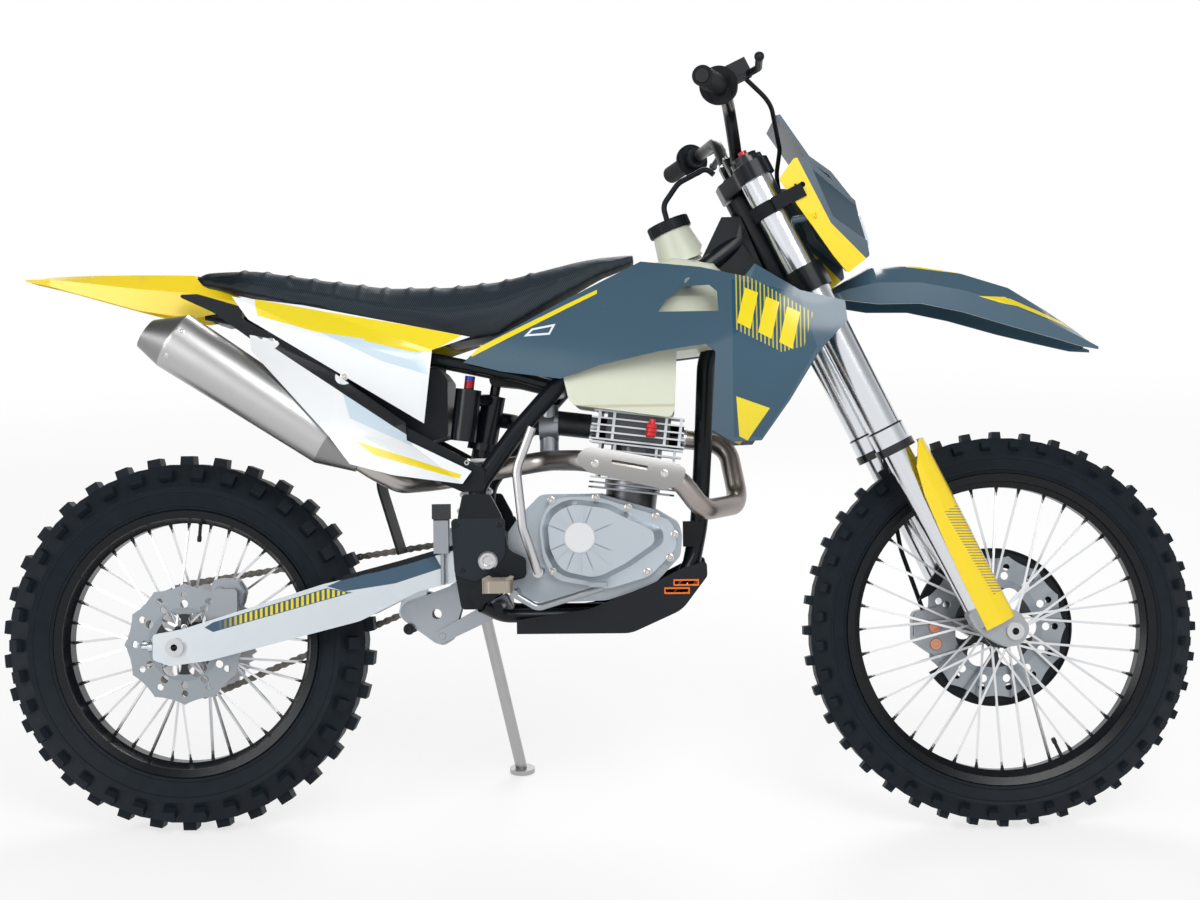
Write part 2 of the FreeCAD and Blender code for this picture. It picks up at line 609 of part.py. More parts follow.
plate_points = [(505, 398, 8), (545, 398, 8), (588, 446, 20), (618, 452, 10), (618, 486, 10), (588, 500, 20),
                (576, 560, 30), (556, 598, 8), (508, 598, 8), (500, 560, 20), (494, 460, 30)]
pivot_plate = slab(plate_points, -PLATE_IN - plate_wide, -PLATE_IN)
spar_foot = slab([(512, 530), (546, 530), (552, 585), (514, 585)], -PLATE_IN - 4, -SPAR_Y - 8)
peg_lug = slab([(534, 402), (572, 424), (580, 452), (560, 462), (520, 430)], -PLATE_IN - plate_wide - 26,
               -PLATE_IN - plate_wide + 1)
# The side stand turns about an axis that tips outwards, so that it folds in beside the swingarm.
HINGE = Vector(0, 0.976, 0.219)
STAND_Y = PLATE_IN + plate_wide + 12.5
STAND = Vector(size("stand_x"), STAND_Y, size("stand_z"))
knuckle_half = 9
stand_lug = Part.makeCylinder(16, 12, STAND - HINGE * (knuckle_half + size("gap") + 12), HINGE)
frame = both(spar.multiFuse([cradle, pivot_plate, spar_foot, peg_lug]))
head = Part.makeCylinder(size("head_radius"), HEAD_TOP - HEAD_LOW, stem(HEAD_LOW), stem(1) - stem(0))
cross_low = Part.makeCylinder(12, 2 * PLATE_IN + 4, Vector(FRAME_LINK.x, -PLATE_IN - 2, FRAME_LINK.z), Y)
cross_top = Part.makeCylinder(13, 2 * SPAR_Y, Vector(668, -SPAR_Y, 782), Y)
cross_mid = Part.makeCylinder(11, 2 * SPAR_Y, Vector(790, -SPAR_Y + 4, 884), Y)
shock_ear = slab([(546, 792, 8), (556, 820, 10), (600, 812, 20), (676, 797), (668, 769), (600, 786, 20)],
                 -24, -14)
shock_pin = Part.makeCylinder(8, 48, SHOCK_TOP - Y * 24, Y)
# The head tube is boxed in to the spars by two folded gussets, one wall each side.
gusset_points = [(966, 1086), (1000, 1086), (1046, 976), (1008, 950), (944, 856), (926, 870), (924, 1000, 20)]
gusset_wall = 4
gusset = slab(gusset_points, -27, 27).cut(slab([(966, 1078, 12), (1000, 1060, 12), (1020, 985, 12),
                                                (940, 895, 12),
                                               (936, 1000, 12)], -27 + gusset_wall, 27 - gusset_wall))
front_lug = slab([(890.6, 500), (916, 500), (926, 545), (890.6, 545)], -22, 22)
bolt_spacer = Part.makeCylinder(8, PLATE_IN - size("engine_half") + 2, Vector(600, -PLATE_IN - 2, 469), Y)
frame = frame.multiFuse([down, head, gusset, cross_low, cross_top, cross_mid, shock_ear, mirrored(shock_ear),
                         shock_pin, front_lug, bolt_spacer, mirrored(bolt_spacer), stand_lug])
head_bore = Part.makeCylinder(size("stem_radius") + 6, HEAD_TOP - HEAD_LOW + 20, stem(HEAD_LOW - 10),
                              stem(1) - stem(0))
frame = frame.cut(head_bore)
pivot_pin = Part.makeCylinder(8.7, 2 * PLATE_IN + 10, Vector(PIVOT.x, -PLATE_IN - 5, PIVOT.z), Y)
frame = frame.fuse(pivot_pin)

# Subframe: two upper rails under the seat and two long black struts that run down to the spars.
STRUT_IN = SPAR_Y + 8 + size("spar_radius") + size("gap")
strut_wide = 6
rail = bent([(Vector(672, -SPAR_Y + 4, 785), 0), (Vector(600, -76, 806), 40), (Vector(480, -72, 832), 80),
             (Vector(48, -58, 922), 0)], 10)
strut = slab([(6, 953, 3), (46, 954, 10), (122, 931, 6), (126, 908, 6), (262, 836), (401, 722),
              (547, 642, 10),
              (547, 604, 10), (508, 602, 6), (440, 632, 20), (388, 690, 20), (125, 884, 10), (72, 922)],
             -STRUT_IN - strut_wide, -STRUT_IN)
tie = Part.makeCylinder(8, STRUT_IN - 52, Vector(108, -STRUT_IN - 1, 905), Y)
tie_mid = Part.makeCylinder(8, STRUT_IN - 66, Vector(262, -STRUT_IN - 1, 828), Y)
tail_tie = Part.makeCylinder(8, 116, Vector(66, -58, 914), Y)
subframe = both(rail.multiFuse([strut, tie, tie_mid]))
seat_tie = Part.makeCylinder(8, 144, Vector(420, -72, 840), Y)
subframe = subframe.multiFuse([tail_tie, seat_tie])
spar_pair = both(bent(spar_path, size("spar_radius") + size("gap")))
cross_room = Part.makeCylinder(13 + size("gap"), 2 * SPAR_Y, Vector(668, -SPAR_Y, 782), Y)
node(shaped("subframe_solid", subframe.cut(spar_pair).cut(cross_room)), "subframe")
node(shaped("main_frame_solid", frame), "main_frame")
GUARD_IN = PLATE_IN + plate_wide + size("gap")
node(plate("frame_guard_plates", [(488, 556, 8), (582, 556, 8), (582, 490, 20), (560, 466, 20),
                                  (530, 446, 12),
                                  (494, 458, 12)],
           str(GUARD_IN), "3", [(PIVOT.x, PIVOT.z, 12)], pair=True), "frame_guards")

# Engine: crankcase with room for the drive sprocket, side covers, finned cylinder and head.
ENGINE = size("engine_half")
case_points = [(582, 462, 14), (584, 424, 14), (640, 406, 20), (757, 410, 60), (839, 437, 40), (886, 486, 20),
               (889, 521, 20), (883, 543, 20), (841, 568, 30), (745, 596, 6), (642, 596, 20), (606, 560, 30),
               (584, 530, 20)]
case = slab(case_points, -ENGINE, ENGINE)
DRIVE = Vector(size("drive_x"), 0, size("drive_z"))
drive_ring = size("chain_pitch") * size("drive_teeth") / (2 * math.pi)
case = case.cut(Part.makeBox(drive_ring + 80, 60, 120, Vector(550, 44, DRIVE.z - 60)))
drive_shaft = Part.makeCylinder(10 - size("gap"), 40, Vector(DRIVE.x, 40, DRIVE.z), Y)
case = case.fuse(drive_shaft)
node(shaped("crankcase_solid", case), "crankcase")
CLUTCH = Vector(712, 0, 521)
cover_points = [(646, 488, 60), (664, 448, 40), (757, 430, 60), (832, 452, 40), (880, 500, 30),
                (874, 548, 30),
                (740, 592, 70), (660, 590, 60), (640, 540, 60)]
flange = slab(cover_points, -ENGINE - 15, -ENGINE - size("gap"))
dome_points = [(648, 500, 50), (668, 456, 50), (740, 440, 60), (800, 470, 40), (858, 510, 16), (856, 534, 16),
               (760, 580, 60), (690, 590, 60), (642, 560, 60)]
dome_low = Part.Face(Part.Wire([e.toShape() for e in outline(dome_points)]))
dome_low.rotate(Vector(), X, 90)
middle = dome_low.CenterOfMass
dome_top = dome_low.copy()
dome_top.scale(0.86, middle)
dome_low.translate(Vector(0, -ENGINE - 14, 0))
dome_top.translate(Vector(0, -ENGINE - 42, 0))
dome = Part.makeLoft([dome_low.OuterWire, dome_top.OuterWire], True, True)
clutch_disc = Part.makeCylinder(25, 50, Vector(CLUTCH.x, -ENGINE - 47, CLUTCH.z), Y)
ribs = []
for turn in (40, 90, 140, 225, 278):
    rib = Part.makeBox(68, 31, 4, Vector(0, 0, -2))
    rib.Placement = Placement(Vector(CLUTCH.x, -ENGINE - 45, CLUTCH.z), Rotation(Y, turn))
    ribs.append(rib)
rib_room = Part.makeLoft([wire.OuterWire for wire in (dome_low, dome_top)], True, True)
rib_room = rib_room.fuse(dome_top.extrude(Y * -3))
ribs = [rib.common(rib_room) for rib in ribs]
bosses = [Part.makeCylinder(6.5, 19, Vector(x, -ENGINE - 18, z), Y)
          for x, z in ((662, 586), (740, 590), (796, 572), (844, 556), (876, 524), (868, 484), (828, 460),
                       (664, 462))]
dome = flange.multiFuse([dome, clutch_disc] + ribs + bosses).cut(
    Part.makeBox(400, 2 * ENGINE, 400, Vector(560, -ENGINE - size("gap"), 350)))
left_cover = slab([(664, 470, 50), (740, 440, 60), (826, 470, 50), (830, 560, 50), (740, 590, 60),
                   (660, 570, 50)],
                  ENGINE + size("gap"), ENGINE + 16)
rotor_cover = Part.makeCylinder(58, 34, Vector(750, ENGINE + size("gap"), 516), Y)
left_cover = left_cover.fuse(rotor_cover)
node(shaped("engine_covers_solid", Part.makeCompound([dome, left_cover])), "engine_covers")
node(sprocket("drive_sprocket_body", "drive_teeth", "chain_pitch", "sprocket_wide",
              "0 - chain_line - sprocket_wide / 2", 10), "drive_sprocket",
     PARK * Placement(DRIVE, Rotation()))

# Cylinder and head lean forward a little; both are stacks of thin fins round a barrel.
FIN_TILT = -7
BARREL = Placement(Vector(800, 0, 596.5), Rotation(Y, -FIN_TILT))


def finned(low, high, count, thick, size_low, size_high, core, ties):
    """A core with evenly spaced fins, each a plain plate, and slim ties that stop the fins from ringing."""
    solids = [core]
    for x, y in ties:
        solids += [Part.makeBox(5, 5, high - low, Vector(x, side * y - 2.5, low)) for side in (-1, 1)]
    for i in range(count):
        at = low + (high - low) * i / (count - 1)
        share = i / (count - 1)
        length = size_low[0] + (size_high[0] - size_low[0]) * share
        wide = size_low[1] + (size_high[1] - size_low[1]) * share
        solids.append(Part.makeBox(length, wide, thick, Vector(-length / 2, -wide / 2, at)))
    return solids[0].multiFuse(solids[1:])


EXHAUST_Y = 40
barrel_core = Part.makeCylinder(46, 115, Vector(0, 0, -30), Z)
barrel = finned(20, 82, 6, 3, (150, 130), (166, 146), barrel_core, [(-66, 60), (-40, 60), (34, 60), (66, 60)])
case_below = case.copy()
case_below.Placement = BARREL.inverse()
node(shaped("cylinder_solid", barrel.cut(case_below)), "cylinder", PARK * BARREL)
head_core = Part.makeBox(112, 104, 82, Vector(-56, -52, 85.3))
fins = finned(88, 138, 5, 3, (168, 150), (160, 140), head_core, [(-72, 66), (-46, 66), (46, 66), (72, 66)])
cover = Part.makeBox(96, 92, 22, Vector(-48, -46, 165))
exhaust_port = Part.makeCylinder(20, 34, Vector(52, EXHAUST_Y, 107), X)
intake_port = Part.makeCylinder(18, 34, Vector(-86, 0, 110), X)
plug = Part.makeCylinder(7, 36, Vector(24, -86, 112), Y)
plug_cap = Part.makeCylinder(9.5, 30, Vector(24, -114, 112), Y)
head_solid = fins.multiFuse([cover, exhaust_port, intake_port, plug, plug_cap])
node(shaped("cylinder_head_solid", head_solid), "cylinder_head", PARK * BARREL)

# Carburettor, on its rubber boot behind the intake port.
BARREL_X = BARREL.Rotation.multVec(X)
PORT = BARREL.multVec(Vector(-86, 0, 110))
carb_body = Part.makeCylinder(24, 34, Vector(636, 0, 716), X)
bowl = Part.makeCylinder(17, 44, Vector(653, 0, 662), Z)
slide = Part.makeCylinder(17, 30, Vector(653, 0, 726), Z)
boot = Part.makeCylinder(22, 66, PORT - BARREL_X * (66 + size("gap")), BARREL_X)
carb = carb_body.multiFuse([bowl, slide, boot])
node(shaped("carburettor_solid", carb), "carburettor")

# Exhaust: a header that wraps round the front of the down tube and runs back under the heat shield and
# inside the spar, and the silencer with its tapered ends.
SILENCER_AT = Vector(14.7, -140, 869)
SILENCER_WAY = Vector(0.835, 0, -0.55).normalize()
silencer_across = Vector(0.55, 0, 0.835).normalize()
PIPE = size("pipe_radius")
port_mouth = BARREL.multVec(Vector(86, EXHAUST_Y, 107))
pipe_end = SILENCER_AT + SILENCER_WAY * 386
pipe_path = [(port_mouth + BARREL_X * size("gap"), 0), (Vector(972, EXHAUST_Y, 683), 45),
             (Vector(992, 0, 575), 45), (Vector(925, -140, 566), 40),
             (Vector(884, -152, 622), 60), (Vector(800, -152, 640), 200),
             (Vector(722, -150, 654), 60), (Vector(652, -50, 656), 60),
             (Vector(452, -50, 622), 60), (Vector(400, -110, 618), 60),
             (pipe_end + SILENCER_WAY * 26, 50), (pipe_end, 0)]
node(shaped("exhaust_pipe_solid", bent(pipe_path, PIPE)), "exhaust_pipe")


def oval(along, tall, wide, drop=0):
    """An oval section square to the silencer's axis."""
    ellipse = Part.Ellipse(Vector(), tall, wide)
    wire = Part.Wire(ellipse.toShape())
    place = Placement(SILENCER_AT + SILENCER_WAY * along + silencer_across * drop,
                      Rotation(silencer_across, Y, SILENCER_WAY * -1, "XYZ"))
    wire.Placement = place
    return wire


CAN = size("silencer_radius")
tail_cone = Part.makeLoft([oval(-52, 28, 26, -16), oval(-4, CAN + 3, CAN - 5)], True, True)
can_body = Part.makeLoft([oval(-4, CAN + 3, CAN - 5), oval(318, 46, 42)], True, True)
nose_cone = Part.makeLoft([oval(318, 46, 42), oval(385.6, 21, 21)], True, True)
outlet = Part.makeCylinder(17, 40, SILENCER_AT - SILENCER_WAY * 60 - silencer_across * 16, SILENCER_WAY)
hanger = slab([(186, 770), (236, 760), (224, 832, 8), (204, 846, 8)], -STRUT_IN - strut_wide - 6,
              -STRUT_IN - strut_wide - size("gap"))
silencer = can_body.multiFuse([tail_cone, nose_cone, hanger]).cut(outlet)
node(shaped("silencer_solid", silencer), "silencer")
shield_points = [(713, 665, 14), (731, 678, 14), (870, 652, 10), (898, 637, 10), (890, 612, 10),
                 (862, 602, 16), (731, 633, 16), (711, 650, 12)]
shield_slot = slab([(770, 655, 3), (832, 643, 3), (832, 635, 3), (770, 647, 3)], -180, -170)
shield = slab(shield_points, -176, -173).cut(shield_slot)
posts = [Part.makeCylinder(8, 173 - 150 - PIPE + 12, Vector(x, -174, z), Y)
         for x, z in ((742, 648), (860, 630))]
header = bent(pipe_path, PIPE + size("gap"))
node(shaped("heat_shield_solid", shield.multiFuse(posts).cut(header)), "heat_shield")

# Fuel tank: a narrow saddle with a filler neck, its lobes low on both sides of the cylinder head.
tank_sides = []
for x, top, bottom, half, waist in ((676, 926, 812, 84, 60), (720, 955, 832, 100, 66),
                                    (800, 992, 838, 112, 72),
                                    (880, 1016, 842, 114, 72), (950, 1008, 850, 110, 60),
                                    (984, 968, 880, 88, 44)):
    middle = bottom + (top - bottom) * 0.55
    tank_sides.append([Vector(x, -half + 6, bottom), Vector(x, -half, middle), Vector(x, -waist, top - 10),
                       Vector(x, -waist * 0.4, top), Vector(x, waist * 0.4, top), Vector(x, waist, top - 10),
                       Vector(x, half, middle), Vector(x, half - 6, bottom)])
tank = ruled(tank_sides)
lobe = slab([(681, 822, 10), (697, 752, 16), (872, 727, 16), (878, 740, 10), (884, 856, 4), (700, 846, 4)],
            -122, -84)
NECK = Vector(899, 0, 1007.4)
NECK_WAY = Vector(-0.375, 0, 0.927).normalize()
NECK_LONG = 60
neck = Part.makeCone(46, 34, NECK_LONG, NECK, NECK_WAY)
tank = tank.multiFuse([lobe, mirrored(lobe), neck])
frame_room = both(bent(spar_path, size("spar_radius") + size("gap")))
cross_room = Part.makeCylinder(12, 300, Vector(790, -150, 884), Y)
head_room = Part.makeCylinder(size("head_radius") + 4, 200, stem(HEAD_LOW - 10), stem(1) - stem(0))
down_room = bent(down_path, size("spar_radius") + 3)
gusset_room = slab([(950, 1092), (1010, 1092), (1050, 940), (940, 840), (920, 866), (918, 1004)], -29, 29)
tank = tank.cut(frame_room).cut(cross_room).cut(head_room).cut(down_room).cut(gusset_room)
node(shaped("fuel_tank_solid", tank), "fuel_tank")
cap = Part.makeCylinder(38, 20, NECK + NECK_WAY * (NECK_LONG + size("gap")), NECK_WAY)
vent = bent([(NECK + NECK_WAY * (NECK_LONG + 12), 0), (Vector(862, 0, 1112), 25), (Vector(890, 0, 1152), 35),
             (Vector(940, 0, 1178), 20), (stem(1314, -22), 0)], 5)
node(shaped("tank_cap_solid", cap.fuse(vent)), "tank_cap")

# Seat: one long pad, wide at the middle and narrow where it climbs onto the tank.
seat_sections = []
for x, top, bottom, half in ((12, 992, 978, 30), (40, 1004, 972, 56), (130, 1000, 952, 74),
                             (258, 980, 926, 84),
                             (367, 965, 897, 88), (476, 965, 868, 86), (567, 974, 884, 78),
                             (657, 996, 940, 64),
                             (747, 1018, 990, 50), (812, 1026, 1014, 34)):
    seat_sections.append([Vector(x, -half * 0.96, bottom), Vector(x, -half, bottom + (top - bottom) * 0.55),
                          Vector(x, -half * 0.72, top - (top - bottom) * 0.12), Vector(x, -half * 0.3, top),
                          Vector(x, half * 0.3, top), Vector(x, half * 0.72, top - (top - bottom) * 0.12),
                          Vector(x, half, bottom + (top - bottom) * 0.55), Vector(x, half * 0.96, bottom)])
seat = ruled(seat_sections)
tank_room = [[Vector(p.x, p.y * 1.02, p.z + 1) for p in section] for section in tank_sides]
seat = seat.cut(ruled(tank_room))
seat = max(seat.Solids, key=lambda solid: solid.Volume)
bumpers = [Part.makeCylinder(9, 43, Vector(200, y, 903), Z) for y in (-62.9, 62.9)]
bumpers += [Part.makeCylinder(9, 36, Vector(430, y, 855), Z) for y in (-70.4, 70.4)]
node(shaped("seat_solid", seat.multiFuse(bumpers)), "seat")


def folded(points, panels, thick, way=Y):
    """A creased sheet: flat facets between named points, with the same thickness in one direction."""
    inward = way * thick
    faces = []
    edges = {}
    for panel in panels:
        loop = [points[k] for k in panel]
        if len(loop) > 3:
            loops = [(loop[0], loop[i], loop[i + 1]) for i in range(1, len(loop) - 1)]
        else:
            loops = [loop]
        for a, b, c in loops:
            faces.append(Part.Face(Part.makePolygon([a, b, c, a])))
            faces.append(Part.Face(Part.makePolygon([a + inward, b + inward, c + inward, a + inward])))
        for i in range(len(panel)):
            pair = frozenset((panel[i], panel[(i + 1) % len(panel)]))
            edges[pair] = edges.get(pair, 0) + 1
    for pair, count in edges.items():
        if count == 1:
            a, b = (points[k] for k in pair)
            faces.append(Part.Face(Part.makePolygon([a, b, b + inward, a + inward, a])))
    shell = Part.makeShell(faces)
    shell.sewShape()
    solid = Part.makeSolid(Part.Shell(shell.Faces))
    solid.fix(1e-4, 1e-4, 1e-4)
    return solid if solid.Volume > 0 else solid.reversed()


WALL = size("panel_wide")


def post(panel, x, z, end, radius):
    """A round post from inside a right-hand panel's skin, at a place in the side view, towards the middle."""
    skin = panel.common(Part.makeLine(Vector(x, -400, z), Vector(x, 0, z))).BoundBox
    start = skin.YMin + WALL / 2
    return Part.makeCylinder(radius, end - start, Vector(x, start, z), Y)


# Rear fender: a blade with a low ridge, whose skirt ends under the seat.
fender_rows = []
for x, top, edge, half in ((-288, 996, 990, 30), (-236, 1000, 978, 56), (-163, 1001, 957, 66),
                           (-71, 1000, 931, 72),
                           (20, 998, 915, 76), (126, 948, 930, 74)):
    fender_rows.append((x, top, edge, half))


def fender_section(x, top, edge, half, wall):
    """Half-open fender sections: the outer line, or the inner line a wall inside it."""
    half = half - wall
    top = top - wall
    low = edge - (40 if wall else 0)
    knee = edge + (top - edge) * 0.55
    return [Vector(x, -half, low), Vector(x, -half, knee), Vector(x, -half * 0.55, top - 3),
            Vector(x, 0, top),
            Vector(x, half * 0.55, top - 3), Vector(x, half, knee), Vector(x, half, low)]


fender_outer = ruled([fender_section(*row, 0) for row in fender_rows])
hollow_rows = [(x + (6 if x < -200 else 0) + (10 if x > 100 else 0), top, edge, half)
               for x, top, edge, half in fender_rows]
fender = fender_outer.cut(ruled([fender_section(*row, WALL) for row in hollow_rows]))
seat_room = ruled(seat_sections)
fender = fender.cut(seat_room)
fender = max(fender.Solids, key=lambda solid: solid.Volume)
fender_posts = [Part.makeCylinder(7, 80, Vector(60, y, 932), Z) for y in (-58.4, 58.4)]
fender_posts = Part.makeCompound(fender_posts).common(fender_outer).cut(seat_room)
node(shaped("rear_fender_solid", fender.fuse(fender_posts)), "rear_fender")

# Side panels: the upper pair between seat and strut, and the lower pair that bulges over the silencer's nose.
PANEL_Y = -(STRUT_IN + strut_wide + 6)
upper_points = [Vector(108, PANEL_Y, 948), Vector(136, PANEL_Y, 908), Vector(443, PANEL_Y, 722),
                Vector(457, PANEL_Y + 6, 850), Vector(524, PANEL_Y + 6, 872), Vector(226, -92, 934),
                Vector(250, PANEL_Y - 6, 884), Vector(430, PANEL_Y - 6, 830)]
upper_panel = folded(upper_points, [(0, 1, 6, 5), (1, 2, 7, 6), (2, 3, 7), (6, 7, 3, 5), (5, 3, 4)], WALL)
lower_points = [Vector(141, PANEL_Y - 10, 880), Vector(150, -160, 850), Vector(290, -196, 700),
                Vector(326, -200, 652), Vector(400, -190, 632), Vector(512, -150, 616),
                Vector(527, -140, 638),
                Vector(413, PANEL_Y - 4, 693), Vector(411, PANEL_Y, 724), Vector(288, PANEL_Y, 811),
                Vector(171, PANEL_Y, 874), Vector(340, -184, 700)]
lower_panel = folded(lower_points, [(0, 1, 10), (10, 1, 9), (1, 2, 9), (9, 2, 11, 8), (2, 3, 11), (11, 3, 4),
                                    (11, 4, 5), (11, 5, 7), (11, 7, 8), (7, 5, 6)], WALL)
upper_posts = [post(upper_panel, 430, 842.4, -80.8, 6), post(upper_panel, 200, 890.3, -73.3, 6)]
strut_face = -STRUT_IN - strut_wide - size("gap")
lower_posts = [post(lower_panel, x, z, strut_face, 6) for x, z in ((292, 796), (398, 710), (184, 864))]
node(shaped("side_panel_pair", both(upper_panel.multiFuse(upper_posts))), "side_panels")
node(shaped("lower_panel_pair", both(lower_panel.multiFuse(lower_posts))), "lower_side_panels")

# Tank shrouds: creased panels that start narrow beside the seat and spread round the front of the engine bay.
s_points = [Vector(511, -104, 828), Vector(542, -106, 857), Vector(682, -112, 930), Vector(822, -104, 1000),
            Vector(925, -140, 985), Vector(1000, -176, 964), Vector(1017, -186, 984), Vector(1092, -196, 937),
            Vector(1168, -190, 919), Vector(1172, -192, 885), Vector(1125, -198, 835),
            Vector(1073, -198, 751),
            Vector(1025, -192, 684), Vector(976, -186, 682), Vector(941, -180, 704), Vector(949, -184, 836),
            Vector(932, -182, 849), Vector(854, -166, 839), Vector(751, -146, 818), Vector(682, -134, 796),
            Vector(579, -112, 811), Vector(866, -134, 930), Vector(898, -142, 952), Vector(940, -158, 952),
            Vector(953, -166, 940), Vector(955, -172, 906), Vector(852, -146, 908), Vector(1040, -202, 900),
            Vector(700, -132, 880)]
s_panels = [(0, 1, 20), (1, 2, 28), (1, 28, 20), (20, 28, 19), (19, 28, 18), (2, 3, 28), (3, 26, 28),
            (28, 26, 18),
            (18, 26, 17), (3, 21, 26), (3, 4, 21), (4, 22, 21), (4, 23, 22), (4, 5, 23), (5, 24, 23),
            (5, 6, 27),
            (5, 27, 24), (6, 7, 27), (7, 8, 9), (7, 9, 27), (9, 10, 27), (10, 11, 27), (11, 12, 27),
            (12, 13, 27), (13, 14, 27), (14, 15, 27), (15, 16, 27), (16, 25, 27), (25, 24, 27), (16, 17, 25),
            (17, 26, 25)]
shroud = folded(s_points, s_panels, WALL)
shroud_posts = [post(shroud, x, z, -80, 7).cut(tank) for x, z in ((760, 905), (905, 960))]
node(shaped("tank_shroud_pair", both(shroud.multiFuse(shroud_posts))), "tank_shrouds")

# Air box behind the shock, under the seat.
box_points = [(232, 818), (300, 740, 20), (440, 690, 20), (478, 700, 10), (478, 800, 10), (462, 822, 20)]
air_boot = bent([(Vector(635.7, 0, 716), 0), (Vector(606, 0, 716), 20), (Vector(586, 50, 728), 20),
                 (Vector(470, 50, 745), 0)], 14)
box_post = Part.makeCylinder(10, 13.7, Vector(420, 0, 818), Z)
box = slab(box_points, -64, 64)
node(shaped("air_box_solid", box.multiFuse([air_boot, box_post])), "air_box")

# Skid plate: a bent tray under the cradle.
tray_points = [(600, 354), (799, 354, 60), (888, 394, 60), (932, 452, 12), (931, 478, 6), (889, 466, 20),
               (839, 441, 40), (782, 418, 40), (725, 396, 30), (640, 384, 20), (600, 378)]
tray = slab(tray_points, -110, 110)
inner_points = [(590, 358), (797, 358, 60), (884, 397, 60), (927, 453, 12), (940, 500, 6), (590, 500)]
tray = tray.cut(slab(inner_points, -106, 106))
tray_posts = [Part.makeCylinder(9, 14.5, Vector(x, y, 357.2), Z)
              for x, y in ((760, 66), (760, -66), (640, 77.7), (640, -77.7))]
tray = tray.multiFuse(tray_posts)
for x, z in ((875, 438), (859, 424)):
    tray = tray.cut(Part.makeBox(40, 300, 6, Vector(x, -150, z)))
node(shaped("skid_plate_solid", tray), "skid_plate")

# Footpegs: a serrated cage on each side of the pivot plates.
PEG_IN = PLATE_IN + plate_wide + 26 + size("gap")
peg_hub = Part.makeBox(30, 22, 26, Vector(546, -PEG_IN - 22, 428))
peg_points = [(552, -PEG_IN - 20), (556, -size("peg_tip") + 8, 8), (566, -size("peg_tip"), 8),
              (600, -size("peg_tip"), 8), (606, -size("peg_tip") + 10, 8), (590, -PEG_IN - 20)]
cage = Part.Face(Part.Wire([e.toShape() for e in outline(peg_points)])).extrude(Z * 20)
cage.translate(Z * 434)
inner_cage = Part.makeBox(26, size("peg_tip") - PEG_IN - 44, 60, Vector(568, -size("peg_tip") + 10, 410))
cage = cage.cut(inner_cage)
teeth = []
for k in range(4):
    y = -size("peg_tip") + 14 + k * 24
    teeth.append(Part.makeBox(40, 4, 20, Vector(560, y, 436)))
    for x in (557, 595):
        teeth.append(Part.makeWedge(0, 0, 0, 2, 2, 6, 6, 8, 6, 4, Vector(x, y - 2, 453.5), Y))
peg = peg_hub.multiFuse([cage] + teeth)
node(shaped("footpeg_pair", both(peg)), "footpegs")

# Foot controls: brake pedal and kick starter on the right, gear lever on the left.
PEDAL_Y = -ENGINE - 66
pedal_pivot = Part.makeCylinder(7, -ENGINE - size("gap") - PEDAL_Y + 6, Vector(600, PEDAL_Y - 6, 426), Y)
pedal = bent([(Vector(600, PEDAL_Y, 426), 0), (Vector(640, PEDAL_Y, 402), 20),
              (Vector(700, PEDAL_Y, 420), 60),
              (Vector(752, PEDAL_Y, 436), 0)], 6)
pad = Part.makeBox(30, 34, 8, Vector(730, PEDAL_Y - 28, 438))
node(shaped("brake_pedal_solid", pedal.multiFuse([pad, pedal_pivot])), "brake_pedal")
kick_shaft = Part.makeCylinder(9, 53.7, Vector(640, -ENGINE - 54, 462), Y)
kick = bent([(Vector(640, -ENGINE - 50, 462), 0), (Vector(616, -ENGINE - 72, 540), 40),
             (Vector(606, -ENGINE - 72, 640), 60), (Vector(634, -ENGINE - 76, 712), 0)], 8)
node(shaped("kick_starter_solid", kick.fuse(kick_shaft)), "kick_starter")
gear_shaft = Part.makeCylinder(8, 36, Vector(652, ENGINE + size("gap"), 440), Y)
gear = bent([(Vector(652, ENGINE + 30, 440), 0), (Vector(720, ENGINE + 40, 428), 30),
             (Vector(770, ENGINE + 52, 440), 0)], 6)
gear_tip = Part.makeCylinder(8, 34, Vector(770, ENGINE + 44, 440), Y)
node(shaped("gear_lever_solid", gear.multiFuse([gear_shaft, gear_tip])), "gear_lever")

# Rear brake: caliper over the disc on its bracket, and the master cylinder inside the frame.
DISC_MID = size("rear_hub_half") + size("gap") + size("disc_wide") / 2
caliper = slab([(52, 418, 8), (72, 398, 6), (106, 404, 8), (112, 430, 10), (98, 452, 10), (56, 452, 10)],
               -DISC_MID - 20, -DISC_MID + 18)
slot = Part.makeBox(90, 8, 60, Vector(30, -DISC_MID - 4, 386))
caliper = caliper.cut(slot.cut(Part.makeBox(90, 20, 20, Vector(30, -DISC_MID - 10, 446))))
bracket = slab([(62, 386, 4), (104, 392, 4), (104, 436, 8), (62, 436, 8)], -ARM_IN + size("gap"),
               -DISC_MID - 18)
master = Part.makeBox(26, 22, 60, Vector(459, -PLATE_IN - 26, 496))
reservoir_cup = Part.makeBox(30, 28, 26, Vector(457, -PLATE_IN - 29, 555.5))
push_rod = Part.makeCylinder(4, 60, Vector(474, -PLATE_IN - 15, 442), Z)
master_lug = Part.makeBox(40, plate_wide, 30, Vector(480, -PLATE_IN - plate_wide, 510)).cut(pivot_plate)
master_lug = min(master_lug.Solids, key=lambda solid: solid.BoundBox.XMin)
brake_parts = [caliper.fuse(bracket), master.multiFuse([reservoir_cup, push_rod, master_lug])]
node(shaped("rear_brake_solid", Part.makeCompound(brake_parts)), "rear_brake")

# Mud flap between the tyre and the shock.
flap_points = [(346, 740), (350, 740), (352, 610, 80), (388, 492), (384, 491), (348, 610, 80)]
node(shaped("mud_flap_solid", slab(flap_points, -52, 52).cut(box)), "mud_flap")

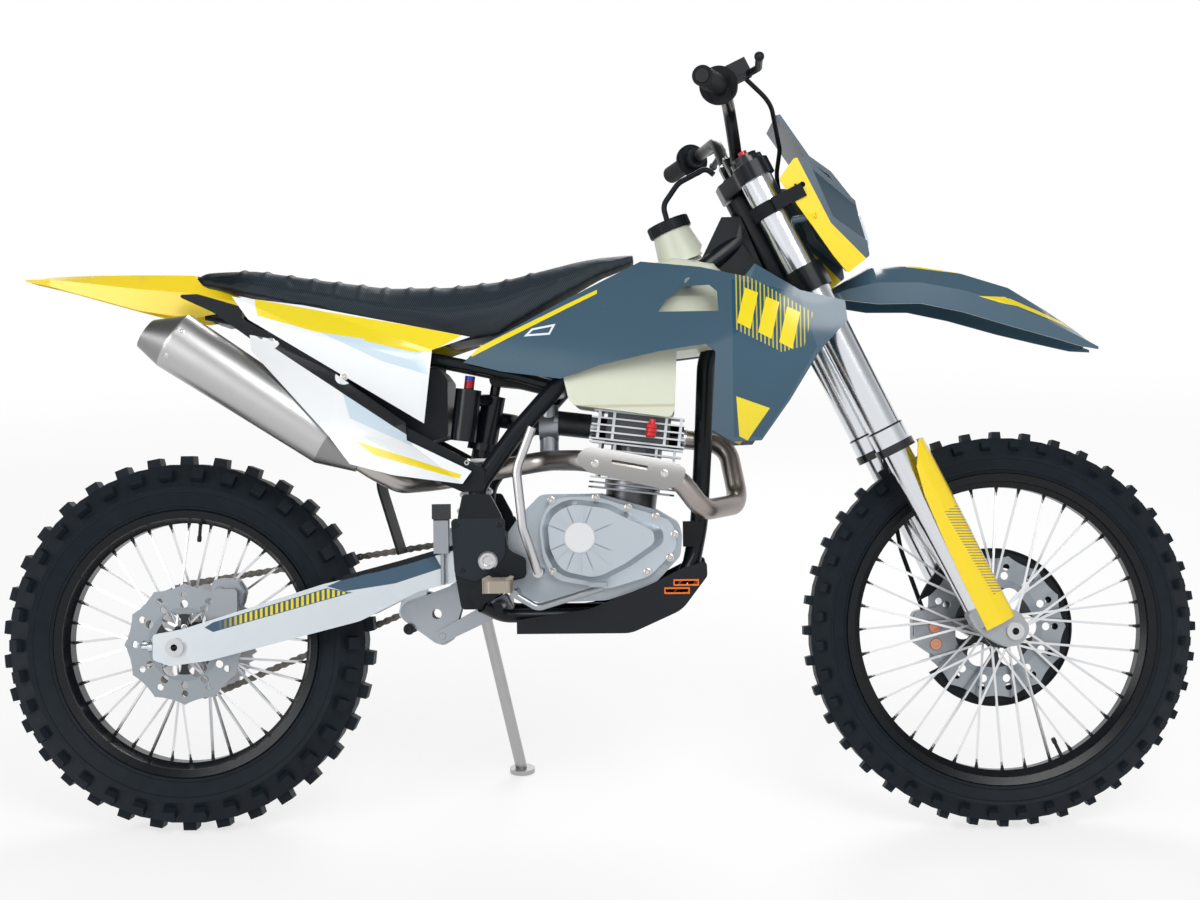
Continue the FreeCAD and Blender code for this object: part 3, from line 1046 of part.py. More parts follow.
# Chain: one closed loop, bent link by link round the sprockets, with a groove inside it for their teeth.
rear_ring = size("chain_pitch") * size("sprocket_teeth") / (2 * math.pi)


def chain_loop(grow):
    """The closed side view of the chain, a distance outside or inside the pitch line."""
    span = DRIVE - REAR_AXLE
    length = math.hypot(span.x, span.z)
    slope = math.atan2(span.z, span.x)
    bend = math.asin((rear_ring - drive_ring) / length)
    top = slope + math.pi / 2 - bend
    low = slope - math.pi / 2 + bend
    big, small = rear_ring + grow, drive_ring + grow

    def at(centre, radius, angle):
        return Vector(centre.x + radius * math.cos(angle), 0, centre.z + radius * math.sin(angle))

    points = []
    for centre, radius, start, end, teeth in ((DRIVE, small, top, low, "drive_teeth"),
                                              (REAR_AXLE, big, low, top - 2 * math.pi, "sprocket_teeth")):
        links = round((start - end) / (2 * math.pi) * size(teeth))
        points += [at(centre, radius, start + (end - start) * i / links) for i in range(links + 1)]
    return Part.Face(Part.makePolygon(points + points[:1]))


outer = chain_loop(8)
inner = chain_loop(-6.5)
band = outer.cut(inner).extrude(Y * 12)
band.translate(Y * (size("chain_line") - 6))
groove_ring = chain_loop(6.4).cut(chain_loop(-7)).extrude(Y * (size("sprocket_wide") + 2 * size("gap")))
groove_ring.translate(Y * (size("chain_line") - size("sprocket_wide") / 2 - size("gap")))
node(shaped("chain_solid", band.cut(groove_ring)), "chain")

# Side stand: a leg with a foot on the ground, pivoted on the left pivot plate.
foot_rise = size("stand_out") * math.tan(math.radians(size("lean_angle")))
FOOT = Vector(size("stand_foot_x"), size("stand_out"), foot_rise)
UP = PARK.inverse().Rotation.multVec(Z)
leg_way = (FOOT - STAND).normalize()
leg = Part.makeCylinder(size("stand_radius"), (FOOT - STAND).Length - 18, STAND + leg_way * 12, leg_way)
foot = Part.makeCylinder(24, 9, FOOT, UP)
knuckle = Part.makeCylinder(16, 2 * knuckle_half, STAND - HINGE * knuckle_half, HINGE)
node(shaped("side_stand_solid", leg.multiFuse([foot, knuckle])), "side_stand")

# Steering, in the fork's own frame. The clamps and the stem are one piece, with bearings for the head tube.
FORK_X = size("fork_offset")
FORK_Y = size("fork_half")
TUBE = size("fork_tube_radius")
LEG = size("fork_leg_radius")
GAP = size("gap")


def clamp(low, deep, rear):
    """A fork clamp: a bridge with a round grip about each tube."""
    points = [(-rear, -26, 20), (-rear, 26, 20), (-4, FORK_Y - 20, 30), (-10, FORK_Y + 6, 20),
              (8, FORK_Y + TUBE + 11, 20), (FORK_X + 20, FORK_Y + TUBE + 9, 20),
              (FORK_X + TUBE + 9, FORK_Y, 26),
              (FORK_X + TUBE, FORK_Y - 32, 20), (FORK_X + 14, 30, 30), (FORK_X + 14, -30, 30),
              (FORK_X + TUBE, -FORK_Y + 32, 20), (FORK_X + TUBE + 9, -FORK_Y, 26),
              (FORK_X + 20, -FORK_Y - TUBE - 9, 20), (8, -FORK_Y - TUBE - 11, 20), (-10, -FORK_Y - 6, 20),
              (-4, -FORK_Y + 20, 30)]
    wire = Part.Wire([e.toShape() for e in outline(points)])
    solid = Part.Face(wire).extrude(Z * deep)
    solid.translate(Z * low)
    for side in (-1, 1):
        solid = solid.cut(Part.makeCylinder(TUBE + GAP, deep + 20, Vector(FORK_X, side * FORK_Y,
                                                            low - 10), Z))
    return solid


LOW_CLAMP, TOP_CLAMP = size("low_clamp"), size("top_clamp")
CLAMP_DEEP = size("clamp_deep")
BAR_AT = Vector(14, 0, TOP_CLAMP + CLAMP_DEEP + 22)
BAR = size("bar_radius")
bar_path = [(Vector(-33, -size("bar_half"), 1408), 0), (Vector(14, -270, 1397), 60),
            (Vector(31, -135, 1385), 60), (BAR_AT - Y * 72, 50), (BAR_AT + Y * 72, 50),
            (Vector(31, 135, 1385), 60),
            (Vector(14, 270, 1397), 60), (Vector(-33, size("bar_half"), 1408), 0)]
stem_bar = Part.makeCylinder(size("stem_radius"), TOP_CLAMP - LOW_CLAMP - 35, Vector(0, 0, LOW_CLAMP + 38), Z)
bearings = [Part.makeCylinder(size("stem_radius") + 6 - GAP, 16, Vector(0, 0, z), Z)
            for z in (HEAD_LOW - 3, HEAD_TOP - 13)]
stem_nut = Part.makeCylinder(14, 8, Vector(0, 0, TOP_CLAMP + CLAMP_DEEP - 1), Z)
risers = []
for side in (-1, 1):
    riser = Part.makeBox(34, 22, 36, Vector(BAR_AT.x - 17, side * 36 - 11, TOP_CLAMP + CLAMP_DEEP - 1))
    risers.append(riser)
clamps = clamp(LOW_CLAMP, CLAMP_DEEP + 15, 36).multiFuse(
    [clamp(TOP_CLAMP, CLAMP_DEEP, 30), stem_bar, stem_nut] + bearings + risers)
bar_room = Part.makeCylinder(BAR + GAP, 200, BAR_AT - Y * 100, Y)
node(shaped("fork_clamps_solid", clamps.cut(bar_room)), "fork_clamps", FORKED)
node(shaped("handlebar_solid", bent(bar_path, BAR)), "handlebar", FORKED)

# Fork: outer tubes with caps and lower rings, inner legs with the axle feet.
TUBE_LOW, TUBE_TOP = size("fork_tube_low"), size("fork_tube_top")
outer_tube = Part.makeCylinder(TUBE, TUBE_TOP - TUBE_LOW, Vector(FORK_X, -FORK_Y, TUBE_LOW), Z)
ring_low = Part.makeCylinder(TUBE + 6, 14, Vector(FORK_X, -FORK_Y, TUBE_LOW), Z)
ring_high = Part.makeCylinder(TUBE + 3, 46, Vector(FORK_X, -FORK_Y, TUBE_LOW), Z)
top_cap = Part.makeCylinder(22, 8, Vector(FORK_X, -FORK_Y, TUBE_TOP - 1), Z)
adjuster = Part.makeCylinder(8, 16, Vector(FORK_X, -FORK_Y, TUBE_TOP - 1), Z)
well = Part.makeCylinder(LEG + GAP, 80, Vector(FORK_X, -FORK_Y, TUBE_LOW - 10), Z)
tube_shape = outer_tube.multiFuse([ring_low, ring_high, top_cap, adjuster]).cut(well)
node(shaped("fork_tube_pair", both(tube_shape)), "fork_tubes", FORKED)
leg_tube = Part.makeCylinder(LEG, TUBE_LOW + 60 - 392, Vector(FORK_X, -FORK_Y, 392), Z)
foot_points = [(-2, 424, 6), (46, 424, 6), (80, 386, 24), (84, 352, 20), (56, 336, 20), (30, 344, 20),
               (4, 384, 20),
               (-2, 400, 8)]
axle_foot = slab(foot_points, -FORK_Y - 18, -FORK_Y + 20)
axle_hole = Part.makeCylinder(size("front_axle_radius") + GAP, 80,
                              Vector(AXLE_FORWARD, -FORK_Y - 40, AXLE_UP), Y)
leg_shape = leg_tube.fuse(axle_foot).cut(axle_hole)
node(shaped("fork_leg_pair", both(leg_shape)), "fork_legs", FORKED)

FOOT_IN = FORK_Y - 20
FRONT_AXLE_AT = Vector(AXLE_FORWARD, 0, AXLE_UP)


def across(radius, start, end):
    """A cylinder on the front axle's line, from one side to the other."""
    return Part.makeCylinder(radius, end - start, FRONT_AXLE_AT + Y * start, Y)


FRONT_AXLE_R = size("front_axle_radius")
front_spindle = across(FRONT_AXLE_R, -FORK_Y - 24, FORK_Y + 22)
front_collars = [across(FRONT_AXLE_R + 7, -FOOT_IN + GAP, -size("front_hub_half") - GAP),
                 across(FRONT_AXLE_R + 7, size("front_hub_half") + size("disc_wide") + 2 * GAP,
                        FOOT_IN - GAP),
                 across(FRONT_AXLE_R + 5, -FORK_Y - 24, -FORK_Y - 18 - GAP)]
front_axle = front_spindle.multiFuse(front_collars).cut(across(size("axle_bore"), -200, 200))
node(shaped("front_axle_solid", front_axle), "front_axle", FORKED)

# Fork guards: long curved shields in front of the legs, bolted to the feet.
guard_section = [(-14, -LEG - 9), (20, -LEG - 12, 10), (44, -LEG - 4, 16), (52, -4, 16), (46, 14, 4),
                 (42, 14),
                 (48, -4, 12), (40, -LEG - 0, 14), (20, -LEG - 8, 8), (-14, -LEG - 5)]
guard_wire = Part.Wire([e.toShape() for e in outline(guard_section)])
guard = Part.Face(guard_wire).extrude(Z * 346)
guard.translate(Vector(FORK_X, -FORK_Y, 386))
guard_side = slab([(70, 386), (70, 517), (76, 600), (76, 728), (60, 731, 10), (34, 690, 10), (24, 640),
                   (18, 560),
                   (14, 480), (12, 386)], -200, 0)
guard = guard.common(guard_side)
foot_space = slab(foot_points, -FORK_Y - 18 - GAP, -FORK_Y + 20)
guard = guard.cut(foot_space)
guard = max(guard.Solids, key=lambda solid: solid.Volume)
node(shaped("fork_guard_pair", both(guard)), "fork_guards", FORKED)

# Grips, hand levers and their perches.
def along_bar(first, second, start, end, radius, hole=0):
    """A round piece on the straight run of the bar between two of its points."""
    way = (second - first).normalize()
    solid = Part.makeCylinder(radius, end - start, first + way * start, way)
    if hole:
        solid = solid.cut(Part.makeCylinder(hole, end - start + 2, first + way * (start - 1), way))
    return solid


grips = []
perches = []
for side in (-1, 1):
    tip = Vector(-33, side * size("bar_half"), 1408)
    inner_point = Vector(14, side * 270, 1397)
    grip = along_bar(tip, inner_point, 2, 108, size("grip_radius"), BAR + GAP)
    collar = along_bar(tip, inner_point, 104, 110, size("grip_radius") + 15, BAR + GAP)
    grips.append(grip.fuse(collar))
    way = (inner_point - tip).normalize()
    perch_at = tip + way * 124
    perch = along_bar(tip, inner_point, 112, 138, BAR + (14 if side < 0 else 7), BAR + GAP)
    ahead = Vector(1, 0, 0)
    arm = Part.makeBox(37, 18, 14, Vector(0, -9, -7))
    arm.Placement = Placement(perch_at + ahead * (BAR + 6), Rotation())
    blade_root = perch_at + ahead * 46 + Vector(0, -side * 4, 0)
    blade = bent([(blade_root, 0), (blade_root + Vector(16, side * 40, -6), 20),
                  (blade_root + Vector(2, side * 150, -10), 0)], 6)
    ball = Part.makeSphere(8, blade_root + Vector(2, side * 150, -10))
    cup = Part.makeBox(36, 44, 24, Vector(0, -10, 2))
    cup.Placement = Placement(perch_at + ahead * (BAR + 8), Rotation())
    perches.append(perch.multiFuse([arm, blade, ball, cup] if side < 0 else [arm, blade, ball]))
node(shaped("grip_pair", Part.makeCompound(grips)), "grips", FORKED)
node(shaped("hand_control_pair", Part.makeCompound(perches)), "hand_controls", FORKED)

# Front brake: a caliper behind the left leg's foot, and the disc guard.
FRONT_DISC_MID = size("front_hub_half") + GAP + size("disc_wide") / 2
front_caliper = slab([(-84, 404, 10), (-60, 360, 10), (-26, 356, 10), (-8, 392, 10), (-12, 440, 10),
                      (-60, 452, 14)], FRONT_DISC_MID - 12, FRONT_DISC_MID + 34)
caliper_slot = Part.makeBox(300, 8, 200, Vector(-79, FRONT_DISC_MID - 4, 330))
caliper_lug = slab([(-30, 380), (0, 396), (0, 424), (-30, 424)], FRONT_DISC_MID + 20, FORK_Y + 6)
leg_room = Part.makeCylinder(LEG + GAP, 300, Vector(FORK_X, FORK_Y, 380), Z)
foot_room = slab(foot_points, FORK_Y - 20 - GAP, FORK_Y + 18)
front_brake = front_caliper.cut(caliper_slot).fuse(caliper_lug).cut(leg_room).cut(foot_room)
node(shaped("front_brake_solid", front_brake), "front_brake", FORKED)
guard_in, guard_out, lip_in = 44, 47, 38
disc_ring = across(142, guard_in, guard_out).cut(across(108, guard_in - 1, guard_out + 1))
disc_lip = across(142, lip_in, guard_out).cut(across(139.5, lip_in - 1, guard_out + 1))
guard_arm = slab([(8, 394, 8), (58, 404, 8), (84, 478), (10, 478)], guard_in, guard_out)
guard_boss = Part.makeCylinder(9, FORK_Y - 20 - guard_out + 1, Vector(34, guard_out - 1, 404), Y)
caliper_room = Part.makeBox(90, 60, 122, Vector(-94, 20, 342))
disc_guard = disc_ring.multiFuse([disc_lip, guard_arm, guard_boss])
disc_guard = disc_guard.cut(caliper_room).cut(mirrored(leg_shape))
node(shaped("disc_guard_solid", disc_guard), "disc_guard", FORKED)
# Its hose runs in front of the clamps, crosses behind the mask and drops inside the left leg.
hose_path = [Vector(50, -281, 1398), Vector(84, -215, 1350), Vector(92, -60, 1292), Vector(84, 60, 1262),
             Vector(70, 92, 1180), Vector(66, 94, 900), Vector(58, 66, 800), Vector(20, 62, 700),
             Vector(-24, 60, 560), Vector(-40, 54, 445)]
hose = bent([(place, 150) for place in hose_path], 4).cut(Part.makeCompound(perches)).cut(front_brake)
hose = max(hose.Solids, key=lambda solid: solid.Volume)
node(shaped("front_brake_hose_solid", hose), "front_brake_hose", FORKED)

# Front fender: a long beak with a raised spine, bolted under the lower clamp. Drawn in the bike's frame.
beak_rows = []
for x, top, edge, half in ((1120, 935, 915, 40), (1180, 968, 930, 58), (1234, 998, 922, 66),
                           (1310, 996, 922, 70),
                           (1384, 984, 906, 70), (1472, 957, 880, 66), (1540, 916, 862, 58),
                           (1600, 876, 846, 46),
                           (1636, 850, 842, 28)):
    beak_rows.append((x, top, edge, half))


def beak_section(x, top, edge, half, wall):
    half = half - wall
    top = top - wall
    low = edge - (60 if wall else 0)
    knee = edge + (top - edge) * 0.5
    return [Vector(x, -half, low), Vector(x, -half, knee), Vector(x, -half * 0.5, top - 4), Vector(x, 0, top),
            Vector(x, half * 0.5, top - 4), Vector(x, half, knee), Vector(x, half, low)]


beak = ruled([beak_section(*row, 0) for row in beak_rows])
beak_hollow = [(x + (8 if x > 1600 else 0) - (8 if x < 1150 else 0), top, edge, half)
               for x, top, edge, half in beak_rows]
beak_inside = ruled([beak_section(*row, WALL) for row in beak_hollow])
beak = beak.cut(beak_inside)
tube_room = [Part.makeCylinder(TUBE + 3, 700, Vector(FORK_X, side * FORK_Y, 727), Z) for side in (-1, 1)]
tube_room = Part.makeCompound(tube_room)
tube_room.Placement = FORK
beak = beak.cut(tube_room)
beak = max(beak.Solids, key=lambda solid: solid.Volume)
beak_bolts = Part.makeCompound([Part.makeCylinder(8, 30, Vector(26, y, LOW_CLAMP - 30 - GAP),
                                                  Z) for y in (-24, 24)])
beak_bolts.Placement = FORK
beak_bolts = beak_bolts.cut(beak_inside)
beak_bolts = [max(beak_bolts.Solids, key=lambda solid,
                  side=side: solid.BoundBox.ZMax + side * solid.BoundBox.YMin)
              for side in (-1, 1)]
node(shaped("front_fender_solid", beak.multiFuse(beak_bolts)), "front_fender", STEERED)

# Headlamp mask: a creased shell from tube to tube, with the lamp low in its middle.
mask_line = [(1058, 1256), (1066, 1258), (1116, 1184), (1154, 1156), (1194, 1104), (1212, 1020), (1206, 1014),
             (1188, 1100), (1149, 1150), (1110, 1180)]
face_plate = slab(mask_line, -74, 74)
strap_points = [(1054, 1130, 6), (1080, 1166, 6), (1104, 1166, 10), (1146, 1064, 10), (1204, 1022),
                (1208, 996, 6),
                (1170, 966, 6), (1146, 996, 10), (1112, 1046, 10), (1088, 1080, 10)]
side_plate = slab(strap_points, -144, -141)
for x, z, radius in ((1094, 1120, 5), (1082, 1119, 2.5)):
    side_plate = side_plate.cut(Part.makeCylinder(radius, 20, Vector(x, -150, z), Y))
strap_wall = slab([(1108, 1184), (1196, 1104), (1212, 1022), (1200, 1000), (1146, 1060), (1104, 1160)],
                  -74, -71)
web_points = [Vector(1106, -72, 1176), Vector(1102, -143, 1160), Vector(1146, -143, 1062),
              Vector(1196, -72, 1098),
              Vector(1204, -143, 1016), Vector(1208, -72, 1016)]
web = folded(web_points, [(0, 1, 2, 3), (3, 2, 4, 5)], 4, Vector(-0.8, 0, -0.6))
mask = both(face_plate.multiFuse([strap_wall, side_plate, web])).cut(tube_room)
tube_surface = Part.makeCylinder(TUBE + GAP, 700, Vector(FORK_X, -FORK_Y, 727), Z)
tube_surface.Placement = FORK
tie_start, tie_end = Vector(1118, -143, 1066), Vector(1056, -106, 1060)
tie_rod = Part.makeCylinder(6, (tie_end - tie_start).Length, tie_start, tie_end - tie_start).cut(tube_surface)
tie_rod = max(tie_rod.Solids, key=lambda solid: solid.BoundBox.XMax)
band_low, band_deep = 1190, 24
band_room = Part.makeCylinder(TUBE + 6 + GAP, band_deep + 2, Vector(FORK_X, -FORK_Y, band_low - 1), Z)
band_room.Placement = FORK
mask = mask.cut(both(band_room)).fuse(both(tie_rod))
node(shaped("headlamp_mask_solid", mask), "headlamp_mask", STEERED)
# Rubber bands hold the straps to the outer tubes. Drawn in the fork's frame.
band_ring = Part.makeCylinder(TUBE + 6, band_deep, Vector(FORK_X, -FORK_Y, band_low), Z)
band_tab = Part.makeBox(58, 4, band_deep, Vector(FORK_X, -148.3, band_low))
band_root = Part.makeBox(24, 16, band_deep, Vector(FORK_X, -148.3, band_low))
band = band_ring.multiFuse([band_tab, band_root]).cut(
    Part.makeCylinder(TUBE + GAP, 60, Vector(FORK_X, -FORK_Y, band_low - 20), Z))
node(shaped("mask_bands_pair", both(band)), "mask_bands", FORKED)
lamp = slab([(1184, 1096), (1206, 1094, 8), (1226, 1028, 8), (1198, 1022)], -48, 48)
lamp = lamp.cut(face_plate)
lamp = max(lamp.Solids, key=lambda solid: solid.Volume)
node(shaped("headlamp_solid", lamp), "headlamp", STEERED)

doc.recompute()
for item in doc.Objects:
    if "Invalid" in item.State or "Error" in item.State:
        raise RuntimeError(f"{item.Name} failed: {item.State}")
os.makedirs("parts", exist_ok=True)
for name, piece in NODES.items():
    if piece.Shape.isNull() or not piece.Shape.isValid():
        raise RuntimeError(f"{name} has no valid shape")
    piece.Shape.exportStep(f"parts/{name}.step")
    print(name, len(piece.Shape.Solids), round(piece.Shape.Volume / 1000), "cm3")
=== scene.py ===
"""Trail motorcycle leaning on its side stand: the looks that go round the CAD frame."""
import json
import math

import bmesh
import bpy
from mathutils import Matrix, Vector


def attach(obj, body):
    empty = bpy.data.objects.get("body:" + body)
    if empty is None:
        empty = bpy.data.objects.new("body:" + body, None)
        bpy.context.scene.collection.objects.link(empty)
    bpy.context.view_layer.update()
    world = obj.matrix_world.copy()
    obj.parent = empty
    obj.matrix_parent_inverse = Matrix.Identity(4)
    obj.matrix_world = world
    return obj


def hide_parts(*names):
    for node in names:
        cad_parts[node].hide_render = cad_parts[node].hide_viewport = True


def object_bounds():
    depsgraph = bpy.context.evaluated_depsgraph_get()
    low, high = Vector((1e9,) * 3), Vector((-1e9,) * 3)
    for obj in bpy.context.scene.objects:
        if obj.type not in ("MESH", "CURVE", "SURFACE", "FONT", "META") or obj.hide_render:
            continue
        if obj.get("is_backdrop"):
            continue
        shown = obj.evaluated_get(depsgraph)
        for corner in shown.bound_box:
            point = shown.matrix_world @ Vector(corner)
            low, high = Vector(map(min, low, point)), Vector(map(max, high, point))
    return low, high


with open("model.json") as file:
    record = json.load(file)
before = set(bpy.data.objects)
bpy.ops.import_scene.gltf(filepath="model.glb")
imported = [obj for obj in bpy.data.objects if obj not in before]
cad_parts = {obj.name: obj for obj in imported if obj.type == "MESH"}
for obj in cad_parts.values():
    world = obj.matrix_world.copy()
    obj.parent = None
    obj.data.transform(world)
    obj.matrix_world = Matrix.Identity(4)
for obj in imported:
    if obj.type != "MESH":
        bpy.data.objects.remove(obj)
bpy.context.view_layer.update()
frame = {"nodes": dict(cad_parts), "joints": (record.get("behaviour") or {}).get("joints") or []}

# Tyres: black off-road rubber with a bluish bloom. Each carcass is a turned section that the bead holds in
# the rim, and the lugs stand on it in rows: a wide crown lug and a pair of shoulder lugs.
# Their places come from the frame's own joints, and so do the upright bike's axes that the rest is drawn in.
joints = {joint["name"]: joint for joint in frame["joints"]}
RAKE = math.radians(26.5)


def axes(across, up, origin):
    """The matrix from a set of axes, given its left and up directions, to the parked bike's frame."""
    left, top = Vector(across).normalized(), Vector(up).normalized()
    ahead = left.cross(top)
    turn = Matrix((ahead, left, top)).transposed().to_4x4()
    return Matrix.Translation(origin) @ turn


def unraked(stem, across):
    """The upright bike's up direction, from the steering stem and the direction across."""
    return stem * math.cos(RAKE) + across.cross(stem) * math.sin(RAKE)


REAR_RADIUS = 0.336
rear_axle, left = Vector(joints["rear_wheel"]["pos_m"]), Vector(joints["rear_wheel"]["axis"])
stem = Vector(joints["steering"]["axis"])
upright = unraked(stem, left)
bike = axes(left, upright, rear_axle - upright * REAR_RADIUS)
front_axle, front_left = Vector(joints["front_wheel"]["pos_m"]), Vector(joints["front_wheel"]["axis"])
STEM_PLACE, STEM_FOOT = 1.1, 1.5603
fork = axes(front_left, stem, Vector(joints["steering"]["pos_m"]) - stem * STEM_PLACE)
steered = fork @ Matrix.Rotation(RAKE, 4, "Y") @ Matrix.Translation((-STEM_FOOT, 0, 0))
rear_wheel = axes(left, upright, rear_axle)
front_wheel = axes(front_left, unraked(stem, front_left), front_axle)


class Value:
    """A shader socket that takes part in Python sums."""

    def __init__(self, finish, socket):
        self.finish, self.socket = finish, socket

    def sum(self, operation, *others):
        """A Math node on this value and any others."""
        node = self.finish.add("ShaderNodeMath", {"operation": operation})
        for place, item in zip(node.inputs, (self, *others)):
            self.finish.feed(place, item)
        return Value(self.finish, node.outputs[0])

    def __add__(self, other): return self.sum("ADD", other)
    def __sub__(self, other): return self.sum("SUBTRACT", other)
    def __rsub__(self, other): return self * -1 + other
    def __mul__(self, other): return self.sum("MULTIPLY", other)
    def __abs__(self): return self.sum("ABSOLUTE")
    def least(self, other): return self.sum("MINIMUM", other)
    def most(self, other): return self.sum("MAXIMUM", other)

    def span(self, other):
        """The distance that two values at right angles make."""
        return (self * self + other * other).sum("SQRT")

    def edge(self, soft=0.0004):
        """1 where the value is above nought and 0 below, with a narrow soft step."""
        node = self.finish.add("ShaderNodeMapRange", {"interpolation_type": "SMOOTHSTEP"})
        for place, item in zip(node.inputs, (self, -soft, soft, 0.0, 1.0)):
            self.finish.feed(place, item)
        return Value(self.finish, node.outputs[0])


class Finish:
    """One material: its Principled shader and the nodes that feed it."""

    def __init__(self, name, colour, roughness, metallic=0.0, **fixed):
        self.material = bpy.data.materials.new(name)
        self.material.use_nodes = True
        self.tree = self.material.node_tree
        self.shader = next(n for n in self.tree.nodes if n.type == "BSDF_PRINCIPLED")
        self.shader.inputs["Metallic"].default_value = metallic
        for socket, number in fixed.items():
            self.shader.inputs[socket.replace("_", " ")].default_value = number
        self.point = self.add("ShaderNodeTexCoord").outputs["Object"]
        self.colour = tuple(colour) + (1.0,)
        self.roughness = roughness
        self.set("Base Color", self.colour)
        self.set("Roughness", roughness)

    def add(self, kind, settings=None, **inputs):
        """A new node of the material's tree, with its settings and inputs."""
        node = self.tree.nodes.new(kind)
        for key, item in (settings or {}).items():
            setattr(node, key, item)
        for key, item in inputs.items():
            self.feed(node.inputs[key.replace("_", " ")], item)
        return node

    def feed(self, place, item):
        """Links a value to a node's input, or writes a plain number or colour there."""
        if isinstance(item, Value):
            item = item.socket
        if isinstance(item, bpy.types.NodeSocket):
            self.tree.links.new(item, place)
        else:
            place.default_value = item

    def set(self, socket, item):
        self.feed(self.shader.inputs[socket], item)

    def along(self, place, axis):
        """The distance along one of a set of axes (0 ahead, 1 left, 2 up)."""
        way = place.to_3x3().col[axis]
        node = self.add("ShaderNodeVectorMath", {"operation": "DOT_PRODUCT"})
        self.feed(node.inputs[0], self.point)
        node.inputs[1].default_value = way
        return Value(self, node.outputs["Value"]) - way.dot(place.translation)

    def noise(self, scale, detail=3.0, stretch=None, place=None):
        """Noise from 0 to 1 of that many waves to a metre, stretched along the axes of a place."""
        vector = self.point
        if stretch:
            joined = self.add("ShaderNodeCombineXYZ")
            for k in range(3):
                self.feed(joined.inputs[k], self.along(place or bike, k) * stretch[k])
            vector = joined.outputs[0]
        node = self.add("ShaderNodeTexNoise", Vector=vector, Scale=scale, Detail=detail)
        return Value(self, node.outputs[0])

    def mix(self, share, first, second):
        """A blend from one colour to another, at a share from 0 to 1."""
        node = self.add("ShaderNodeMix", {"data_type": "RGBA"})
        self.feed(node.inputs["Factor"], share)
        for place, item in zip([s for s in node.inputs if s.type == "RGBA"], (first, second)):
            self.feed(place, tuple(item) + (1.0,) if isinstance(item, tuple) and len(item) == 3 else item)
        return next(s for s in node.outputs if s.type == "RGBA")

    def tint(self, share, colour):
        """Lays another colour over what is there."""
        self.colour = self.mix(share, self.colour, colour)
        self.set("Base Color", self.colour)
        return self

    def bump(self, height, distance, strength=1.0):
        """Relief that only the shading shows."""
        node = self.add("ShaderNodeBump", Height=height, Distance=distance, Strength=strength)
        self.set("Normal", node.outputs[0])
        return self

    def grained(self, scale, distance, strength):
        """The fine grain of a moulded, cast or sprayed surface."""
        return self.bump(self.noise(scale), distance, strength)

    def crowned(self, height, grain, round_by=1.2):
        """The shallow curve of a moulded panel about a height, and its fine ripple."""
        ripple_deep = 0.00003
        away = self.along(bike, 2) - height
        return self.bump(self.noise(grain) * ripple_deep - away * away * round_by, 1.0)

    def worn(self, spread=0.12, scale=60.0):
        """Uneven gloss, as handled and washed parts have."""
        self.set("Roughness", self.noise(scale) * spread + (self.roughness - spread / 2))
        return self

    def inside(self, corners, place=None):
        """How far a point is inside a convex outline in the side view, from its (ahead, up) corners."""
        place = place or bike
        x, z = self.along(place, 0), self.along(place, 2)
        centre = sum((Vector(c) for c in corners), Vector((0, 0))) / len(corners)
        depth = None
        for a, b in zip(corners, corners[1:] + corners[:1]):
            a, b = Vector(a), Vector(b)
            normal = Vector((a.y - b.y, b.x - a.x)).normalized()
            if normal.dot(centre - a) < 0:
                normal = -normal
            near = x * normal.x + z * normal.y - normal.dot(a)
            depth = near if depth is None else depth.least(near)
        return depth

    def within(self, *outlines, place=None):
        """1 inside any of several convex outlines in the side view, and 0 outside."""
        shares = [self.inside(corners, place).edge() for corners in outlines]
        covered = shares[0]
        for share in shares[1:]:
            covered = covered.most(share)
        return covered


def mm(*corners):
    """Points given in millimetres, in metres."""
    return [tuple(number / 1000 for number in corner) for corner in corners]


WELD_UNDER, SMOOTH_UP_TO = 0.00001, math.radians(32)


def dress(nodes, finish):
    """Gives CAD nodes a finish, with smooth shading up to their real edges."""
    for name in nodes.split():
        piece = frame["nodes"][name]
        piece.data.materials.clear()
        piece.data.materials.append(finish.material)
        piece.data.polygons.foreach_set("use_smooth", [True] * len(piece.data.polygons))
        weld = piece.modifiers.new("Weld", "WELD")
        weld.merge_threshold = WELD_UNDER
        split = piece.modifiers.new("Edges", "EDGE_SPLIT")
        split.split_angle = SMOOTH_UP_TO


def from_axle(finish, wheel):
    """The distance from a wheel's axle."""
    ahead, up = finish.along(wheel, 0), finish.along(wheel, 2)
    return ahead.span(up)


LINE_HALF_WIDE, LINE_SLOPE = 0.0011, 900
for name, wheel, lines in (("rear_tyre", rear_wheel, (0.241, 0.247, 0.272)),
                           ("front_tyre", front_wheel, (0.276, 0.282, 0.301))):
    rubber = Finish(name + "_rubber", (0.004, 0.007, 0.011), 0.55, Specular_IOR_Level=0.16)
    rubber.tint(rubber.noise(45.0), (0.009, 0.015, 0.022)).worn(0.22, 90.0)
    away = from_axle(rubber, wheel)
    grain = rubber.noise(900.0) * 0.15
    for line in lines:
        grain = grain + (LINE_HALF_WIDE - abs(away - line)).most(0) * LINE_SLOPE
    rubber.bump(grain, 0.0014, 0.6)
    dress(name, rubber)

# Wheels: black-painted alloy rims, laced with bright spokes to black hubs, with ground steel discs.
# Each spoke ends in a black nipple at the rim, and each rim has a valve. Plated bolts hold the discs and
# the rear sprocket.
rim_black = Finish("rim_black", (0.003, 0.004, 0.006), 0.28, Specular_IOR_Level=0.25)
rim_black.worn(0.1)
dress("rear_rim front_rim", rim_black)


